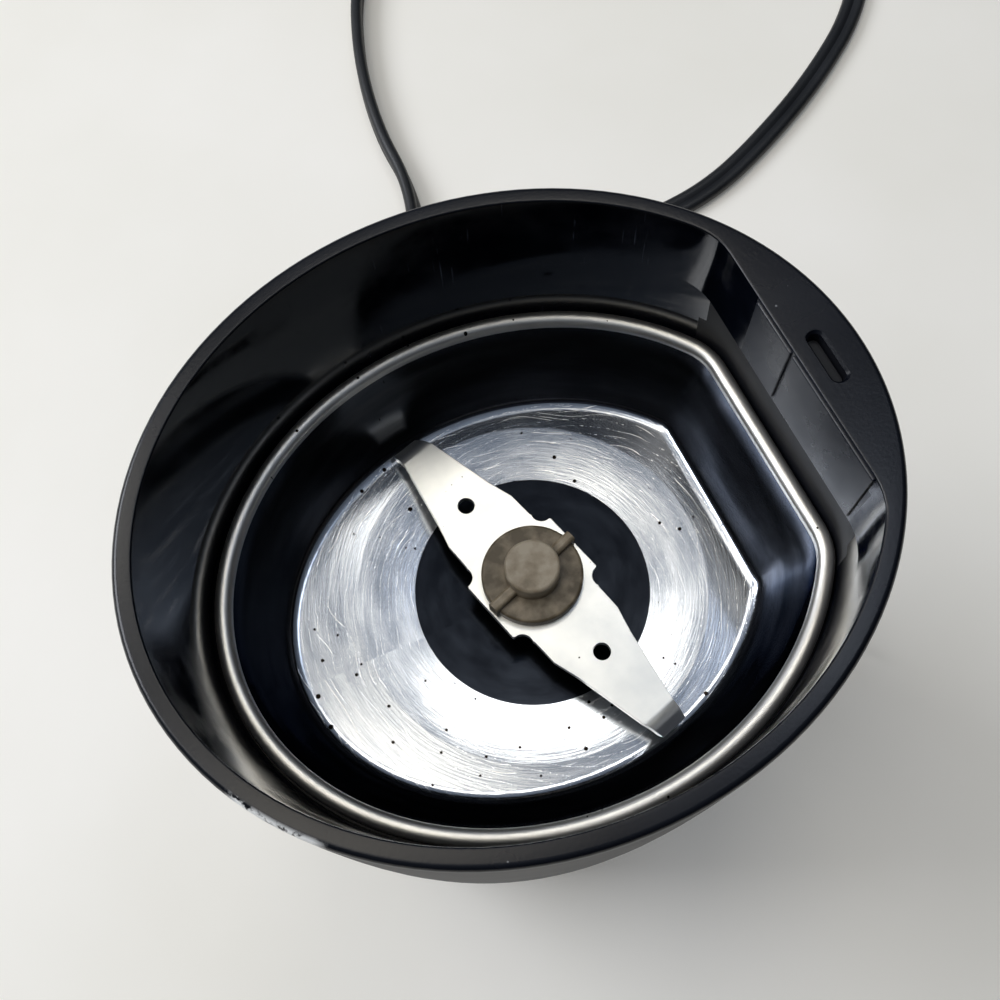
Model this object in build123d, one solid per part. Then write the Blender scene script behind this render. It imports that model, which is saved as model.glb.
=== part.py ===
from build123d import *
import math
import os

# Electric spice grinder without its lid. Millimetres, +Z up, origin under the centre of the oval rim.
# The deck with the lid switch is at +X, the cord leaves at +Y, and the motor shaft stands at X = HUB_X.

# Body shell
RIM_A = 50.0  # half length of the oval rim
RIM_B = 43.9  # half width of the oval rim
RIM_Z = 126.0
RIM_LAND = 2.6
RIM_ROUND = 0.9
SHELL_WALL = 2.2
SHELL_BOTTOM_Z = 4.5
TAPER = 7.5  # how much narrower the body is at its foot, on each side
TAPER_POWER = 2.2
HUB_X = 3.0

# Bowl
LIP_X = 2.0  # centre of the bowl's oval
LIP_IN_A = 4.5  # from the rim to the bead's crest, along the oval
LIP_IN_B = 5.1  # and across it
LIP_FLAT_IN = 7.4  # from the rim's end to the bowl's flat side
LIP_A = RIM_A - LIP_IN_A
LIP_B = RIM_B - LIP_IN_B
LIP_FLAT_X = RIM_A - LIP_FLAT_IN
LIP_CORNER = 9.0
LIP_Z = 98.7  # crest of the bead
BEAD_R = 1.3
BEAD_LEG = 0.8
SHEET = 0.6
BOWL_DRAW_IN = 6.6  # from the bead's crest to the edge of the floor
BOWL_DEPTH = 17.9
FLOOR_Z = LIP_Z - BOWL_DEPTH
FLOOR_ROUND = 2.4
DISH_MARGIN = 3.7  # flat of the floor left round the dish
DISH_R = LIP_B - BOWL_DRAW_IN - DISH_MARGIN
DISH_STEP_R = 19.1
DISH_STEP_DROP = 1.1
DISH_DROP = 1.8
SEAL_HOLE_R = 5.0
GASKET = 0.8
LEDGE = 2.4
BOWL_PLAY = 0.4
FUNNEL_PLAY = 0.3

# Deck, panel under it and lid switch
DECK_LONG = 9.1
DECK_X = RIM_A - DECK_LONG  # where the deck begins
DECK_CORNER = 9.0
PANEL_TALL = 13.7
PANEL_FOOT_Z = RIM_Z - PANEL_TALL
PANEL_WALL = 1.5
DECK_THICK = 2.4
UNDERCUT_IN = 5.8
UNDERCUT_X = RIM_A - UNDERCUT_IN
UNDERCUT_WALL = 1.0
PAD_PROUD = 0.35
PAD_DOWN = 1.8
PAD_TOP_Z = RIM_Z - PAD_DOWN
PAD_Y0 = -18.4
PAD_Y1 = 10.0
PAD_LINE_Y = 1.2
PAD_LINE = 0.35
SLOT_IN = 5.6
SLOT_X = RIM_A - SLOT_IN
SLOT_Y = -1.2
SLOT_LONG = 7.6
SLOT_WIDE = 2.1
SLOT_PLAY = 0.2
TAB_DOWN = 1.8  # the plunger's tip lies this far below the deck
PLUNGER_TRAVEL = 2.5
SHOULDER_HALF = 6.5
SHOULDER_TALL = 3.7
STRIP_HALF = 3.0
STRIP_THICK = 1.2
STRIP_IN = 3.9
STRIP_X = RIM_A - STRIP_IN
CRANK_DOWN = 9.1
CRANK_Z = LIP_Z - CRANK_DOWN
CRANK_TALL = 3.0
STEM_IN = 8.4
STEM_X = RIM_A - STEM_IN
STEM_R = 1.1
GUIDE_PLAY = 0.4

# Motor, on the shaft at HUB_X
SHAFT_R = 3.0
SHAFT_PLAY = 0.02
SHAFT_LOW_Z = 6.8
STACK_Z0 = 36.0
STACK_Z1 = 58.0
STATOR_X = 28.0
STATOR_IN = 20.9  # from the rim to the stator, across the oval
STATOR_Y = RIM_B - STATOR_IN
STATOR_CORNER = 5.0
YOKE = 5.0
POLE_SHOE = 3.4
POLE_ANGLE = 58.0
AIR_GAP = 0.4
ROTOR_R = 15.0
SLOT_COUNT = 12
COIL_THICK = 3.0
COIL_Z_OVER = 4.8
COIL_PLAY = 0.3
COIL_FREE = 4.0  # between a coil's turns and the yoke
COIL_TURNS = 5.2
POLE_NECK = STATOR_Y - YOKE - COIL_FREE - COIL_TURNS - COIL_PLAY
BOLT_IN = 4.0
BOLT_X = STATOR_X - BOLT_IN
BOLT_Y = STATOR_Y - BOLT_IN
BOLT_R = 1.6
PLATE_Z0 = 65.0
PLATE = 3.0
PLATE_PLAY = 0.8
POST_R = 4.5
UPPER_BALL_R = 6.0
UPPER_BALL_HALF = 3.5
UPPER_BALL_Z = 69.0
LOWER_BALL_R = 5.5
LOWER_BALL_HALF = 3.0
LOWER_BALL_Z = 15.5
BALL_PLAY = 0.05
CUP_WALL = 2.5
CLIP = 0.5
BRIDGE_Z0 = 13.5
BRIDGE = 2.5
SHELF_IN = 23.9
SHELF_END = RIM_B - SHELF_IN
COMM_R = 9.5
COMM_Z0 = 19.5
COMM_Z1 = 31.5
BRUSH_GAP = 0.05
BRUSH_X = 5.0
BRUSH_TALL = 7.0
BRUSH_LONG = 10.0
BRUSH_Z = 25.5
HOLDER_WALL = 0.8
HOLDER_PLAY = 0.15
HOLDER_Y0 = 11.5
HOLDER_Y1 = 28.0
FAN_R = 20.0
FAN_Z0 = 6.9
FAN_Z1 = 11.6
FAN_BLADES = 9
FAN_DISC = 1.1

# Blade and hub
BLADE_Z = 85.8  # top face
BLADE_SHEET = 1.2
BLADE_DIR = 106.1  # degrees from +X
BLADE_PLAY = 0.3
BLADE_BEND_U = DISH_R - BLADE_PLAY
BEND_ANGLE = 45.0
BEND_R = 1.9
TIP_LEG = 1.7
TIP_HALF = 2.9
ARM_U = 16.7
ARM_HALF = 5.45
ROOT_U = 8.1
ROOT_HALF = 6.75
TAB_U = 5.3
TAB_HALF = 8.8
NOTCH_R = 1.75
BLADE_HOLE_U = 16.06
BLADE_HOLE_R = 1.35
HUB_FLANGE_R = 8.0
HUB_FLANGE = 2.0
KNOB_R = 4.36
KNOB_TALL = 3.6
HUB_NECK_R = 4.0
HUB_COLLAR_R = 6.2
HUB_COLLAR = 2.2
RIB_DIR = 19.0
RIB_R = 8.5
RIB_WIDE = 1.8
RIB_TALL = 1.2

# Motor fixings to the shell
BOSS_R = 3.6
BOSS_IN = 4.7
BOSS_TOP_Z = 79.0
GROMMET = 2.0
GROMMET_R = 3.4
SCREW_R = 1.5
SMALL_SCREW_R = 1.05
SCREW_HEAD_R = 2.9
SCREW_HEAD = 1.8
SCREW_PLAY = 0.05
MOTOR_SCREW = 11.0
BASE_SCREW = 10.5
BASE_HEAD = 1.0
BOSS_ANGLES = (50.0, 130.0, 230.0, 310.0)
BOSS_WEB = 2.4

# Lid switch
SWITCH_IN = 9.0
SWITCH_X = RIM_A - SWITCH_IN
SWITCH_THICK = 6.4
SWITCH_Y0 = -11.1
SWITCH_Y1 = 8.7
SWITCH_TOP_Z = 75.2
LEVER_PIVOT_Y = -9.5
LEVER_SHEET = 0.5
LEVER_TIP_Y = 0.6
LEVER_HALF = 2.0
LEVER_GAP = 0.25
BUTTON_Y = -5.6
BUTTON_HALF = 1.1
BUTTON_GAP = 0.12
SHELF_Z = 79.3
SHELF = 1.6
BRACKET_WALL = 3.0
SPRING_R = 2.2
SPRING_WIRE = 0.25
SPRING_TURNS = 4.5

# Base
COVER_Z0 = 2.0
COVER_ROUND = 1.2
SPIGOT_TALL = 4.0
SPIGOT_WALL = 1.6
SPIGOT_PLAY = 0.25
FOOT_R = 5.6
FOOT_RECESS = 1.0
FOOT_ANGLES = (38.0, 142.0, 218.0, 322.0)
FOOT_IN = 9.5
BASE_SCREW_ANGLES = (62.0, 118.0, 242.0, 298.0)
BASE_BOSS_R = 3.3
BASE_BOSS_IN = 3.0
BASE_BOSS_TOP_Z = 16.0
VENT_WIDE = 2.2
VENT_PITCH = 4.6
VENT_ROWS = 3
VENT_R = 17.0

# Leads
LEAD_R = 0.8
TAB_IN = 3.4
TAB_LONG = 3.0
COIL_OFF = 0.5
LEAD_SIDE_IN = 17.0  # how far the leads keep in from the rim, along the oval
LEAD_BACK_IN = 16.9  # and across it
LEAD_DIP = 2.8
TAB_LEAD = 4.5

# Cord: a flat twin lead, its strain relief at +Y, a coil for the spare length, and a two-blade plug
CORD_WIDE = 6.4
CORD_THICK = 3.3
CORD_Z = 12.0
CORD_END_IN = 19.9
CORD_END_Y = RIM_B - CORD_END_IN
CORE_X = 1.6  # a core of the cord, from its middle
CORD_LIE_GAP = 0.05
CORD_LIE_Z = CORD_THICK / 2 + CORD_LIE_GAP
RELIEF_NECK_R = 4.4
RELIEF_COLLAR_R = 5.8
RELIEF_TIP_Y = 64.0
COIL_CENTRE = (62.0, 65.0)
CORD_COIL_R = 36.0
PLUG_LONG = 26.0
PLUG_WIDE = 24.0
PLUG_THICK = 13.0
PLUG_BOOT = 14.0
PRONG_LONG = 17.0
PRONG_WIDE = 6.35
PRONG_THICK = 1.5
PRONG_PITCH = 12.7
PLUG_Z = PLUG_THICK / 2 + CORD_LIE_GAP

CORD_ROUTE = [
    (0.0, RELIEF_TIP_Y, CORD_Z),
    (0.0, 77.0, CORD_Z),
    (4.5, 93.0, 9.2),
    (16.0, 107.5, 5.2),
    (28.0, 121.5, 2.4),
    (32.8, 139.5, CORD_LIE_Z),
    (32.2, 160.5, CORD_LIE_Z),
    (37.2, 187.5, CORD_LIE_Z),
    (48.0, 215.5, CORD_LIE_Z),
    (70.0, 243.0, CORD_LIE_Z),
    (105.0, 263.0, CORD_LIE_Z),
    (147.0, 266.0, CORD_LIE_Z),
    (181.0, 247.0, CORD_LIE_Z),
    (200.0, 212.0, CORD_LIE_Z),
    (199.0, 173.0, CORD_LIE_Z),
    (178.0, 142.0, CORD_LIE_Z),
    (151.0, 123.0, CORD_LIE_Z),
    (124.0, 109.5, CORD_LIE_Z),
    (106.0, 103.0, CORD_LIE_Z),
    (88.0, 101.2, CORD_LIE_Z),
    (69.7, 101.0, CORD_LIE_Z),
    (54.3, 101.0, CORD_LIE_Z),
]

# Heights of the tail's points on the coil, from where it climbs out of the ring and over its start
TAIL_START = 30.0
TAIL_STEP = 24.0
TAIL_HEIGHTS = [2.9, 5.6, 5.5, 5.1, 5.1, 5.1, 5.1, 5.1]
TAIL_END = [(36.6, 38.6, 5.7), (42.2, 27.6, PLUG_Z)]

HUB = Pos(HUB_X, 0, 0)
LEDGE_Z = LIP_Z - BEAD_R - BEAD_LEG - GASKET
BEAD_FOOT_Z = LEDGE_Z + GASKET
BORE_R = SHAFT_R + SHAFT_PLAY


def shrink(z):
    """How much smaller than the rim the body is at a height."""
    low = max(0.0, (RIM_Z - z) / (RIM_Z - SHELL_BOTTOM_Z))
    return TAPER * low**TAPER_POWER


def oval(z, inset):
    """The body's oval at a height, drawn in from its outer face."""
    return Pos(0, 0, z) * Ellipse(RIM_A - shrink(z) - inset, RIM_B - shrink(z) - inset)


def body_form(inset, z0, z1, steps=5):
    """The tapered oval body between two heights."""
    heights = [z0 + (z1 - z0) * k / steps for k in range(steps + 1)]
    return loft([oval(z, inset) for z in heights])


def ring_point(angle, z, inset):
    """A point on the body's oval at a height, at an angle of its ellipse."""
    turn = math.radians(angle)
    x = (RIM_A - shrink(z) - inset) * math.cos(turn)
    y = (RIM_B - shrink(z) - inset) * math.sin(turn)
    return (x, y)


def cut_oval(a, b, centre_x, flat_x, corner):
    """An oval with one flat side and two rounded corners."""
    face = Pos(centre_x, 0) * Ellipse(a, b)
    face -= Pos(flat_x + a, 0) * Rectangle(2 * a, 4 * b)
    return fillet(face.vertices(), corner)


def lip_outline(grow, z):
    """The bowl's outline in plan, larger than the bead's crest line by grow."""
    face = cut_oval(LIP_A + grow, LIP_B + grow, LIP_X, LIP_FLAT_X + grow, LIP_CORNER + grow)
    return Pos(0, 0, z) * face


def turned(points):
    """A solid of revolution about Z, from its half profile in X and Z."""
    profile = Plane.XZ * make_face(Polyline(*points, close=True))
    return revolve(profile, Axis.Z)


def tube_z(r_out, r_in, z0, z1):
    """A plain ring about Z."""
    ring = Pos(0, 0, z0) * extrude(Circle(r_out), z1 - z0)
    return ring - Pos(0, 0, z0 - 1) * extrude(Circle(r_in), z1 - z0 + 2)


def post(x, y, r, z0, z1):
    """A plain upright cylinder."""
    return Pos(x, y, z0) * extrude(Circle(r), z1 - z0)


def block(x0, x1, y0, y1, z0, z1):
    """A plain box between two corners."""
    return Pos((x0 + x1) / 2, (y0 + y1) / 2, (z0 + z1) / 2) * Box(x1 - x0, y1 - y0, z1 - z0)


def pan_screw(x, y, head_z, r, head_r, head, length, up=1):
    """A pan-head screw: head_z is the seat under its head, and up its shank's direction."""
    shank = Pos(x, y, min(head_z, head_z + up * length)) * extrude(Circle(r), length)
    cap = Pos(x, y, min(head_z, head_z - up * head)) * extrude(Circle(head_r), head)
    outer = cap.faces().sort_by(Axis.Z)[0 if up > 0 else -1]
    cap = fillet(outer.edges(), head * 0.45)
    drive = Pos(x, y, head_z - up * head) * Box(head_r * 1.1, 0.7, head)
    drive += Pos(x, y, head_z - up * head) * Box(0.7, head_r * 1.1, head)
    return shank + cap - drive


# ---------------------------------------------------------------- housing


def rim_opening(z):
    """The funnel's mouth: the rim's oval, cut straight where the deck begins."""
    a = RIM_A - RIM_LAND
    b = RIM_B - RIM_LAND
    return Pos(0, 0, z) * cut_oval(a, b, 0, DECK_X, DECK_CORNER)


def funnel_space():
    """The hollow above the bowl: low down back to the undercut, higher up back to the deck's panel."""
    share = (PANEL_FOOT_Z - LEDGE_Z) / (RIM_Z - LEDGE_Z)
    grow = BEAD_R + FUNNEL_PLAY
    a = (LIP_A + grow) * (1 - share) + (RIM_A - RIM_LAND) * share
    b = (LIP_B + grow) * (1 - share) + (RIM_B - RIM_LAND) * share
    corner = (LIP_CORNER + grow) * (1 - share) + DECK_CORNER * share
    centre = LIP_X * (1 - share)
    lower_top = Pos(0, 0, PANEL_FOOT_Z) * cut_oval(a, b, centre, UNDERCUT_X, corner)
    upper_foot = Pos(0, 0, PANEL_FOOT_Z) * cut_oval(a, b, centre, DECK_X, corner)
    lower = loft([lip_outline(grow, LEDGE_Z), lower_top], ruled=True)
    upper = loft([upper_foot, rim_opening(RIM_Z)], ruled=True)
    mouth = extrude(rim_opening(RIM_Z), 2)
    return lower + upper + mouth


def panel_pad():
    """The smooth pad on the panel under the deck, with a fine upright line."""
    pad = block(DECK_X - PAD_PROUD, DECK_X + 0.5, PAD_Y0, PAD_Y1, PANEL_FOOT_Z, PAD_TOP_Z)
    line = block(DECK_X - 1, DECK_X - 0.05, PAD_LINE_Y - PAD_LINE / 2, PAD_LINE_Y + PAD_LINE / 2, 0, RIM_Z)
    edges = pad.edges().filter_by(Axis.X).group_by(Axis.X)[0]
    return fillet(edges, 0.8) - line


def switch_hollow():
    """The slot in the deck, the pocket under it and the shaft that the plunger runs down."""
    slot = Pos(SLOT_X, SLOT_Y, RIM_Z - DECK_THICK - 1)
    slot *= extrude(SlotOverall(SLOT_LONG, SLOT_WIDE, rotation=90), DECK_THICK + 2)
    reach = SHOULDER_HALF + GUIDE_PLAY
    inner_x = UNDERCUT_X + UNDERCUT_WALL
    outer_x = STRIP_X + STRIP_THICK / 2 + GUIDE_PLAY
    shaft = block(inner_x, outer_x, SLOT_Y - reach, SLOT_Y + reach, LEDGE_Z - LEDGE - 1, RIM_Z - DECK_THICK)
    floor_z = PANEL_FOOT_Z + PANEL_WALL
    pocket_x = DECK_X + PANEL_WALL
    pocket = block(pocket_x, outer_x, SLOT_Y - reach, SLOT_Y + reach, floor_z, RIM_Z - DECK_THICK)
    return slot + shaft + pocket


def housing():
    """One moulding: tapered oval wall, rim, deck, funnel, ledge for the bowl, and screw bosses."""
    shell = body_form(0, SHELL_BOTTOM_Z, RIM_Z)
    shell = fillet(shell.edges().group_by(Axis.Z)[-1], RIM_ROUND)
    inside = body_form(SHELL_WALL, SHELL_BOTTOM_Z - 1, LEDGE_Z - LEDGE)
    shell -= inside
    shell -= funnel_space()
    aperture = Pos(0, 0, LEDGE_Z - LEDGE - 1) * extrude(lip_outline(-BOWL_PLAY, 0), LEDGE + 2)
    shell -= aperture
    shell += panel_pad()
    shell -= switch_hollow()
    bosses = []
    for angle in BOSS_ANGLES:
        x, y = ring_point(angle, BOSS_TOP_Z, SHELL_WALL + BOSS_IN)
        low = PLATE_Z0 + PLATE + GROMMET
        boss = post(x, y, BOSS_R, low, BOSS_TOP_Z)
        outward = math.degrees(math.atan2(y * RIM_A**2, x * RIM_B**2))
        web = block(0, BOSS_IN + 1, -BOSS_WEB / 2, BOSS_WEB / 2, low, BOSS_TOP_Z)
        boss += Pos(x, y) * Rot(0, 0, outward) * web
        bosses.append(boss - post(x, y, SCREW_R + SCREW_PLAY, PLATE_Z0, BOSS_TOP_Z - 1.5))
    for angle in BASE_SCREW_ANGLES:
        x, y = ring_point(angle, SHELL_BOTTOM_Z, SHELL_WALL + BASE_BOSS_IN)
        boss = post(x, y, BASE_BOSS_R, SHELL_BOTTOM_Z, BASE_BOSS_TOP_Z)
        bosses.append(boss - post(x, y, SCREW_R + SCREW_PLAY, 0, BASE_BOSS_TOP_Z - 2))
    for boss in bosses:
        shell += boss
    hole = Pos(0, RIM_B - TAPER, CORD_Z) * Rot(90, 0, 0) * Cylinder(RELIEF_NECK_R + 0.1, 20)
    return shell - hole


# ---------------------------------------------------------------- bowl


def dish(shift):
    """The shallow cone and step in the bowl's floor, as a solid of revolution above or under its face."""
    z = FLOOR_Z + shift
    points = [
        (0, z + 0.01),
        (DISH_R, z + 0.01),
        (DISH_R, z),
        (DISH_STEP_R, z - DISH_STEP_DROP),
        (SEAL_HOLE_R, z - DISH_DROP),
        (0, z - DISH_DROP),
    ]
    return HUB * turned(points)


def bead():
    """The rolled bead on the bowl's lip: half round, open below."""
    top = LIP_Z - BEAD_FOOT_Z
    outer = Pos(0, 0, BEAD_FOOT_Z) * extrude(lip_outline(BEAD_R, 0) - lip_outline(-BEAD_R, 0), top)
    outer = fillet(outer.edges().group_by(Axis.Z)[-1], BEAD_R - 0.02)
    thin = BEAD_R - SHEET
    inner = lip_outline(thin, 0) - lip_outline(-thin, 0)
    inner = Pos(0, 0, BEAD_FOOT_Z - 1) * extrude(inner, top + 1 - SHEET)
    inner = fillet(inner.edges().group_by(Axis.Z)[-1], thin - 0.02)
    return outer - inner


def grinding_bowl():
    """Drawn steel bowl: flat-sided oval, drafted wall, rounded floor edge, stepped dish and seal hole."""
    outer = loft(
        [lip_outline(SHEET - BOWL_DRAW_IN, FLOOR_Z - SHEET), lip_outline(SHEET - BEAD_R, BEAD_FOOT_Z)],
        ruled=True,
    )
    outer = fillet(outer.edges().group_by(Axis.Z)[0], FLOOR_ROUND + SHEET)
    inner = loft([lip_outline(-BOWL_DRAW_IN, FLOOR_Z), lip_outline(-BEAD_R, BEAD_FOOT_Z)], ruled=True)
    inner = fillet(inner.edges().group_by(Axis.Z)[0], FLOOR_ROUND)
    wall = outer + dish(-SHEET) - inner - dish(0)
    wall -= HUB * post(0, 0, SEAL_HOLE_R, FLOOR_Z - 10, FLOOR_Z + 1)
    return wall + bead()


def bowl_gasket():
    """Flat rubber ring under the bead."""
    ring = lip_outline(BEAD_R, 0) - lip_outline(-BOWL_PLAY, 0)
    return Pos(0, 0, LEDGE_Z) * extrude(ring, GASKET)


def shaft_seal():
    """Rubber grommet in the bowl's centre hole, with a lip round the shaft."""
    top = FLOOR_Z - DISH_DROP
    reach = SEAL_HOLE_R + 1.6
    points = [
        (SHAFT_R + 0.06, top - 2.4),
        (reach, top - 2.4),
        (reach, top - SHEET - 0.05),
        (SEAL_HOLE_R - 0.05, top - SHEET - 0.05),
        (SEAL_HOLE_R - 0.05, top + 0.15),
        (reach, top + 0.15),
        (reach - 0.4, top + 1.2),
        (SHAFT_R + 1.4, top + 2.9),
        (SHAFT_R + 0.06, top + 2.9),
    ]
    return HUB * turned(points)


# ---------------------------------------------------------------- blade and hub


def blade_plan():
    """The blade's outline seen from above, along U, with round notches beside the centre tabs."""
    end = BLADE_BEND_U + (BEND_R + BLADE_SHEET + TIP_LEG) * math.sin(math.radians(BEND_ANGLE))
    upper = [
        (end + 1, 0.0),
        (end + 1, TIP_HALF),
        (BLADE_BEND_U, TIP_HALF + 0.1),
        (ARM_U, ARM_HALF),
        (ROOT_U + 4.4, ROOT_HALF - 0.1),
        (ROOT_U, ROOT_HALF),
        (TAB_U, TAB_HALF),
        (-TAB_U, TAB_HALF),
        (-ROOT_U, ROOT_HALF),
        (-ROOT_U - 4.4, ROOT_HALF - 0.1),
        (-ARM_U, ARM_HALF),
        (-BLADE_BEND_U, TIP_HALF + 0.1),
        (-end - 1, TIP_HALF - 1.6),
        (-end - 1, 0.0),
    ]
    half = make_face(Polyline(*upper, close=True))
    face = half + Rot(0, 0, 180) * half
    for sx in (-1, 1):
        for sy in (-1, 1):
            face -= Pos(sx * (TAB_U + 2.0), sy * (TAB_HALF - 0.3)) * Circle(NOTCH_R)
        face -= Pos(sx * BLADE_HOLE_U, 0) * Circle(BLADE_HOLE_R)
    return face - Circle(HUB_NECK_R + SHAFT_PLAY)


def blade_side():
    """The bent strip seen from its side: flat, then turned down at both ends."""
    turn = math.radians(BEND_ANGLE)
    outer_r = BEND_R + BLADE_SHEET
    centre = (BLADE_BEND_U, -outer_r)

    def on_bend(radius, angle):
        return (centre[0] + radius * math.sin(angle), centre[1] + radius * math.cos(angle))

    def down_leg(point):
        return (point[0] + TIP_LEG * math.cos(turn), point[1] - TIP_LEG * math.sin(turn))

    top = [(0, 0), (BLADE_BEND_U, 0)]
    bend_out = ThreePointArc(top[1], on_bend(outer_r, turn / 2), on_bend(outer_r, turn))
    end_out = down_leg(on_bend(outer_r, turn))
    end_in = down_leg(on_bend(BEND_R, turn))
    bend_in = ThreePointArc(on_bend(BEND_R, turn), on_bend(BEND_R, turn / 2), (BLADE_BEND_U, -BLADE_SHEET))
    edges = [
        Line(*top),
        bend_out,
        Line(on_bend(outer_r, turn), end_out),
        Line(end_out, end_in),
        Line(end_in, on_bend(BEND_R, turn)),
        bend_in,
        Line((BLADE_BEND_U, -BLADE_SHEET), (0, -BLADE_SHEET)),
        Line((0, -BLADE_SHEET), (0, 0)),
    ]
    return make_face(edges)


def blade():
    """Stamped steel blade: the bent strip, trimmed to its outline."""
    wide = 2 * (TAB_HALF + 2)
    strip = Pos(0, wide / 2, 0) * extrude(Plane.XZ * blade_side(), wide)
    strip += Rot(0, 0, 180) * strip
    trimmed = strip & Pos(0, 0, -10) * extrude(blade_plan(), 20)
    return HUB * Pos(0, 0, BLADE_Z) * Rot(0, 0, BLADE_DIR) * trimmed


def blade_hub():
    """Plastic hub moulded round the blade: flange, knob, two ribs, and a collar below."""
    flange_z = BLADE_Z + HUB_FLANGE
    knob_z = flange_z + KNOB_TALL
    under_z = BLADE_Z - BLADE_SHEET
    hub = post(0, 0, HUB_FLANGE_R, BLADE_Z, flange_z)
    hub = fillet(hub.edges().group_by(Axis.Z)[-1], 0.5)
    knob = post(0, 0, KNOB_R, flange_z - 0.5, knob_z)
    knob = fillet(knob.edges().group_by(Axis.Z)[-1], 0.6)
    rib = block(-RIB_R, RIB_R, -RIB_WIDE / 2, RIB_WIDE / 2, BLADE_Z, flange_z + RIB_TALL)
    rib = fillet(rib.edges().filter_by(Axis.X).group_by(Axis.Z)[-1], 0.6)
    hub += knob + Rot(0, 0, RIB_DIR) * rib
    hub += post(0, 0, HUB_NECK_R, under_z, BLADE_Z)
    hub += post(0, 0, HUB_COLLAR_R, under_z - HUB_COLLAR, under_z)
    hub -= post(0, 0, BORE_R, 0, knob_z - 1.6)
    return HUB * hub


# ---------------------------------------------------------------- motor: turning parts


def drive_shaft():
    """Steel motor shaft from the fan up into the blade hub."""
    top = BLADE_Z + HUB_FLANGE + KNOB_TALL - 1.8
    shaft = post(0, 0, SHAFT_R, SHAFT_LOW_Z, top)
    ends = shaft.edges().group_by(Axis.Z)
    return HUB * chamfer(ends[0] + ends[-1], 0.5)


def rotor_slots(r, opening):
    """The round-bottomed slots of the rotor, as one sketch."""
    sketch = Sketch()
    for k in range(SLOT_COUNT):
        turn = Rot(0, 0, 360.0 / SLOT_COUNT * k)
        sketch += turn * Pos(ROTOR_R * 0.76, 0) * Circle(r)
        if opening:
            sketch += turn * Pos(ROTOR_R * 0.95, 0) * Rectangle(ROTOR_R * 0.2, opening)
    return sketch


def rotor_core():
    """Laminated rotor with round-bottomed slots."""
    face = Circle(ROTOR_R) - rotor_slots(2.1, 1.5) - Circle(BORE_R)
    return HUB * Pos(0, 0, STACK_Z0) * extrude(face, STACK_Z1 - STACK_Z0)


def winding_head(z0, z1):
    """The rounded bundle of turns at one end of the rotor."""
    inner = SHAFT_R + 2.5
    outer = ROTOR_R - 1.3
    wide = outer - inner
    section = Pos((inner + outer) / 2, (z0 + z1) / 2) * RectangleRounded(wide, z1 - z0, (z1 - z0) * 0.42)
    return revolve(Plane.XZ * section, Axis.Z)


def rotor_winding():
    """Copper winding: a bundle at each end, joined by the turns in the slots."""
    low = winding_head(COMM_Z1 + 0.3, STACK_Z0 - 0.2)
    high = winding_head(STACK_Z1 + 0.2, STACK_Z1 + 4.4)
    z0 = STACK_Z0 - 2.0
    bars = Pos(0, 0, z0) * extrude(rotor_slots(1.95, 0), STACK_Z1 + 2.0 - z0)
    return HUB * (low + high + bars)


def commutator():
    """Copper commutator: segments parted by slots, with a raised tang ring."""
    body = tube_z(COMM_R, BORE_R, COMM_Z0, COMM_Z1)
    body += tube_z(COMM_R + 1.2, BORE_R, COMM_Z1 - 1.4, COMM_Z1)
    for k in range(SLOT_COUNT):
        cut = Pos(COMM_R + 0.5, 0, (COMM_Z0 + COMM_Z1) / 2) * Box(3.2, 0.6, COMM_Z1 - COMM_Z0 + 1)
        body -= Rot(0, 0, 360.0 / SLOT_COUNT * (k + 0.5)) * cut
    return HUB * body


def shaft_spacers():
    """Two insulating sleeves that set the rotor's height between its bearings."""
    low = tube_z(SHAFT_R + 1.1, BORE_R, LOWER_BALL_Z + LOWER_BALL_HALF + 0.2, COMM_Z0)
    high = tube_z(SHAFT_R + 1.2, BORE_R, STACK_Z1, UPPER_BALL_Z - UPPER_BALL_HALF - 0.2)
    return [HUB * low, HUB * high]


def cooling_fan():
    """Moulded fan under the motor: hub, disc and curved blades."""
    fan = tube_z(FAN_R, BORE_R, FAN_Z1 - FAN_DISC, FAN_Z1)
    fan += tube_z(SHAFT_R + 3.0, BORE_R, FAN_Z0, FAN_Z1)
    arc = ThreePointArc((SHAFT_R + 2.5, 0), (FAN_R * 0.62, 2.6), (FAN_R - 0.4, 0))
    vane = Pos(0, 0, FAN_Z0) * extrude(trace(arc, 1.1), FAN_Z1 - FAN_Z0 - 0.5)
    for k in range(FAN_BLADES):
        fan += Rot(0, 0, 360.0 / FAN_BLADES * k) * vane
    return HUB * (fan - post(0, 0, BORE_R, 0, FAN_Z1 + 1))


# ---------------------------------------------------------------- motor: fixed parts


def stator_bolts():
    """Places of the four bolt holes in the stator's corners, from the shaft."""
    return [(sx * BOLT_X, sy * BOLT_Y) for sx in (-1, 1) for sy in (-1, 1)]


def bolt_pair():
    """The two opposite corners that the long screws pass."""
    return [(BOLT_X, BOLT_Y), (-BOLT_X, -BOLT_Y)]


def stator_core():
    """Laminated two-pole field core: yoke, pole necks and curved shoes."""
    bore = ROTOR_R + AIR_GAP
    face = RectangleRounded(2 * STATOR_X, 2 * STATOR_Y, STATOR_CORNER)
    face -= RectangleRounded(2 * (STATOR_X - YOKE), 2 * (STATOR_Y - YOKE), STATOR_CORNER + 1)
    neck = Rectangle(2 * (STATOR_X - YOKE + 0.5), 2 * POLE_NECK)
    reach = STATOR_X * 2
    spread = reach * math.tan(math.radians(POLE_ANGLE))
    wedge = make_face(Polyline((0, 0), (reach, spread), (reach, -spread), close=True))
    shoes = (Circle(bore + POLE_SHOE)) & (wedge + Rot(0, 0, 180) * wedge)
    face += neck + shoes
    face -= Circle(bore)
    for x, y in stator_bolts():
        face -= Pos(x, y) * Circle(BOLT_R + SCREW_PLAY)
    return HUB * Pos(0, 0, STACK_Z0) * extrude(face, STACK_Z1 - STACK_Z0)


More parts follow.
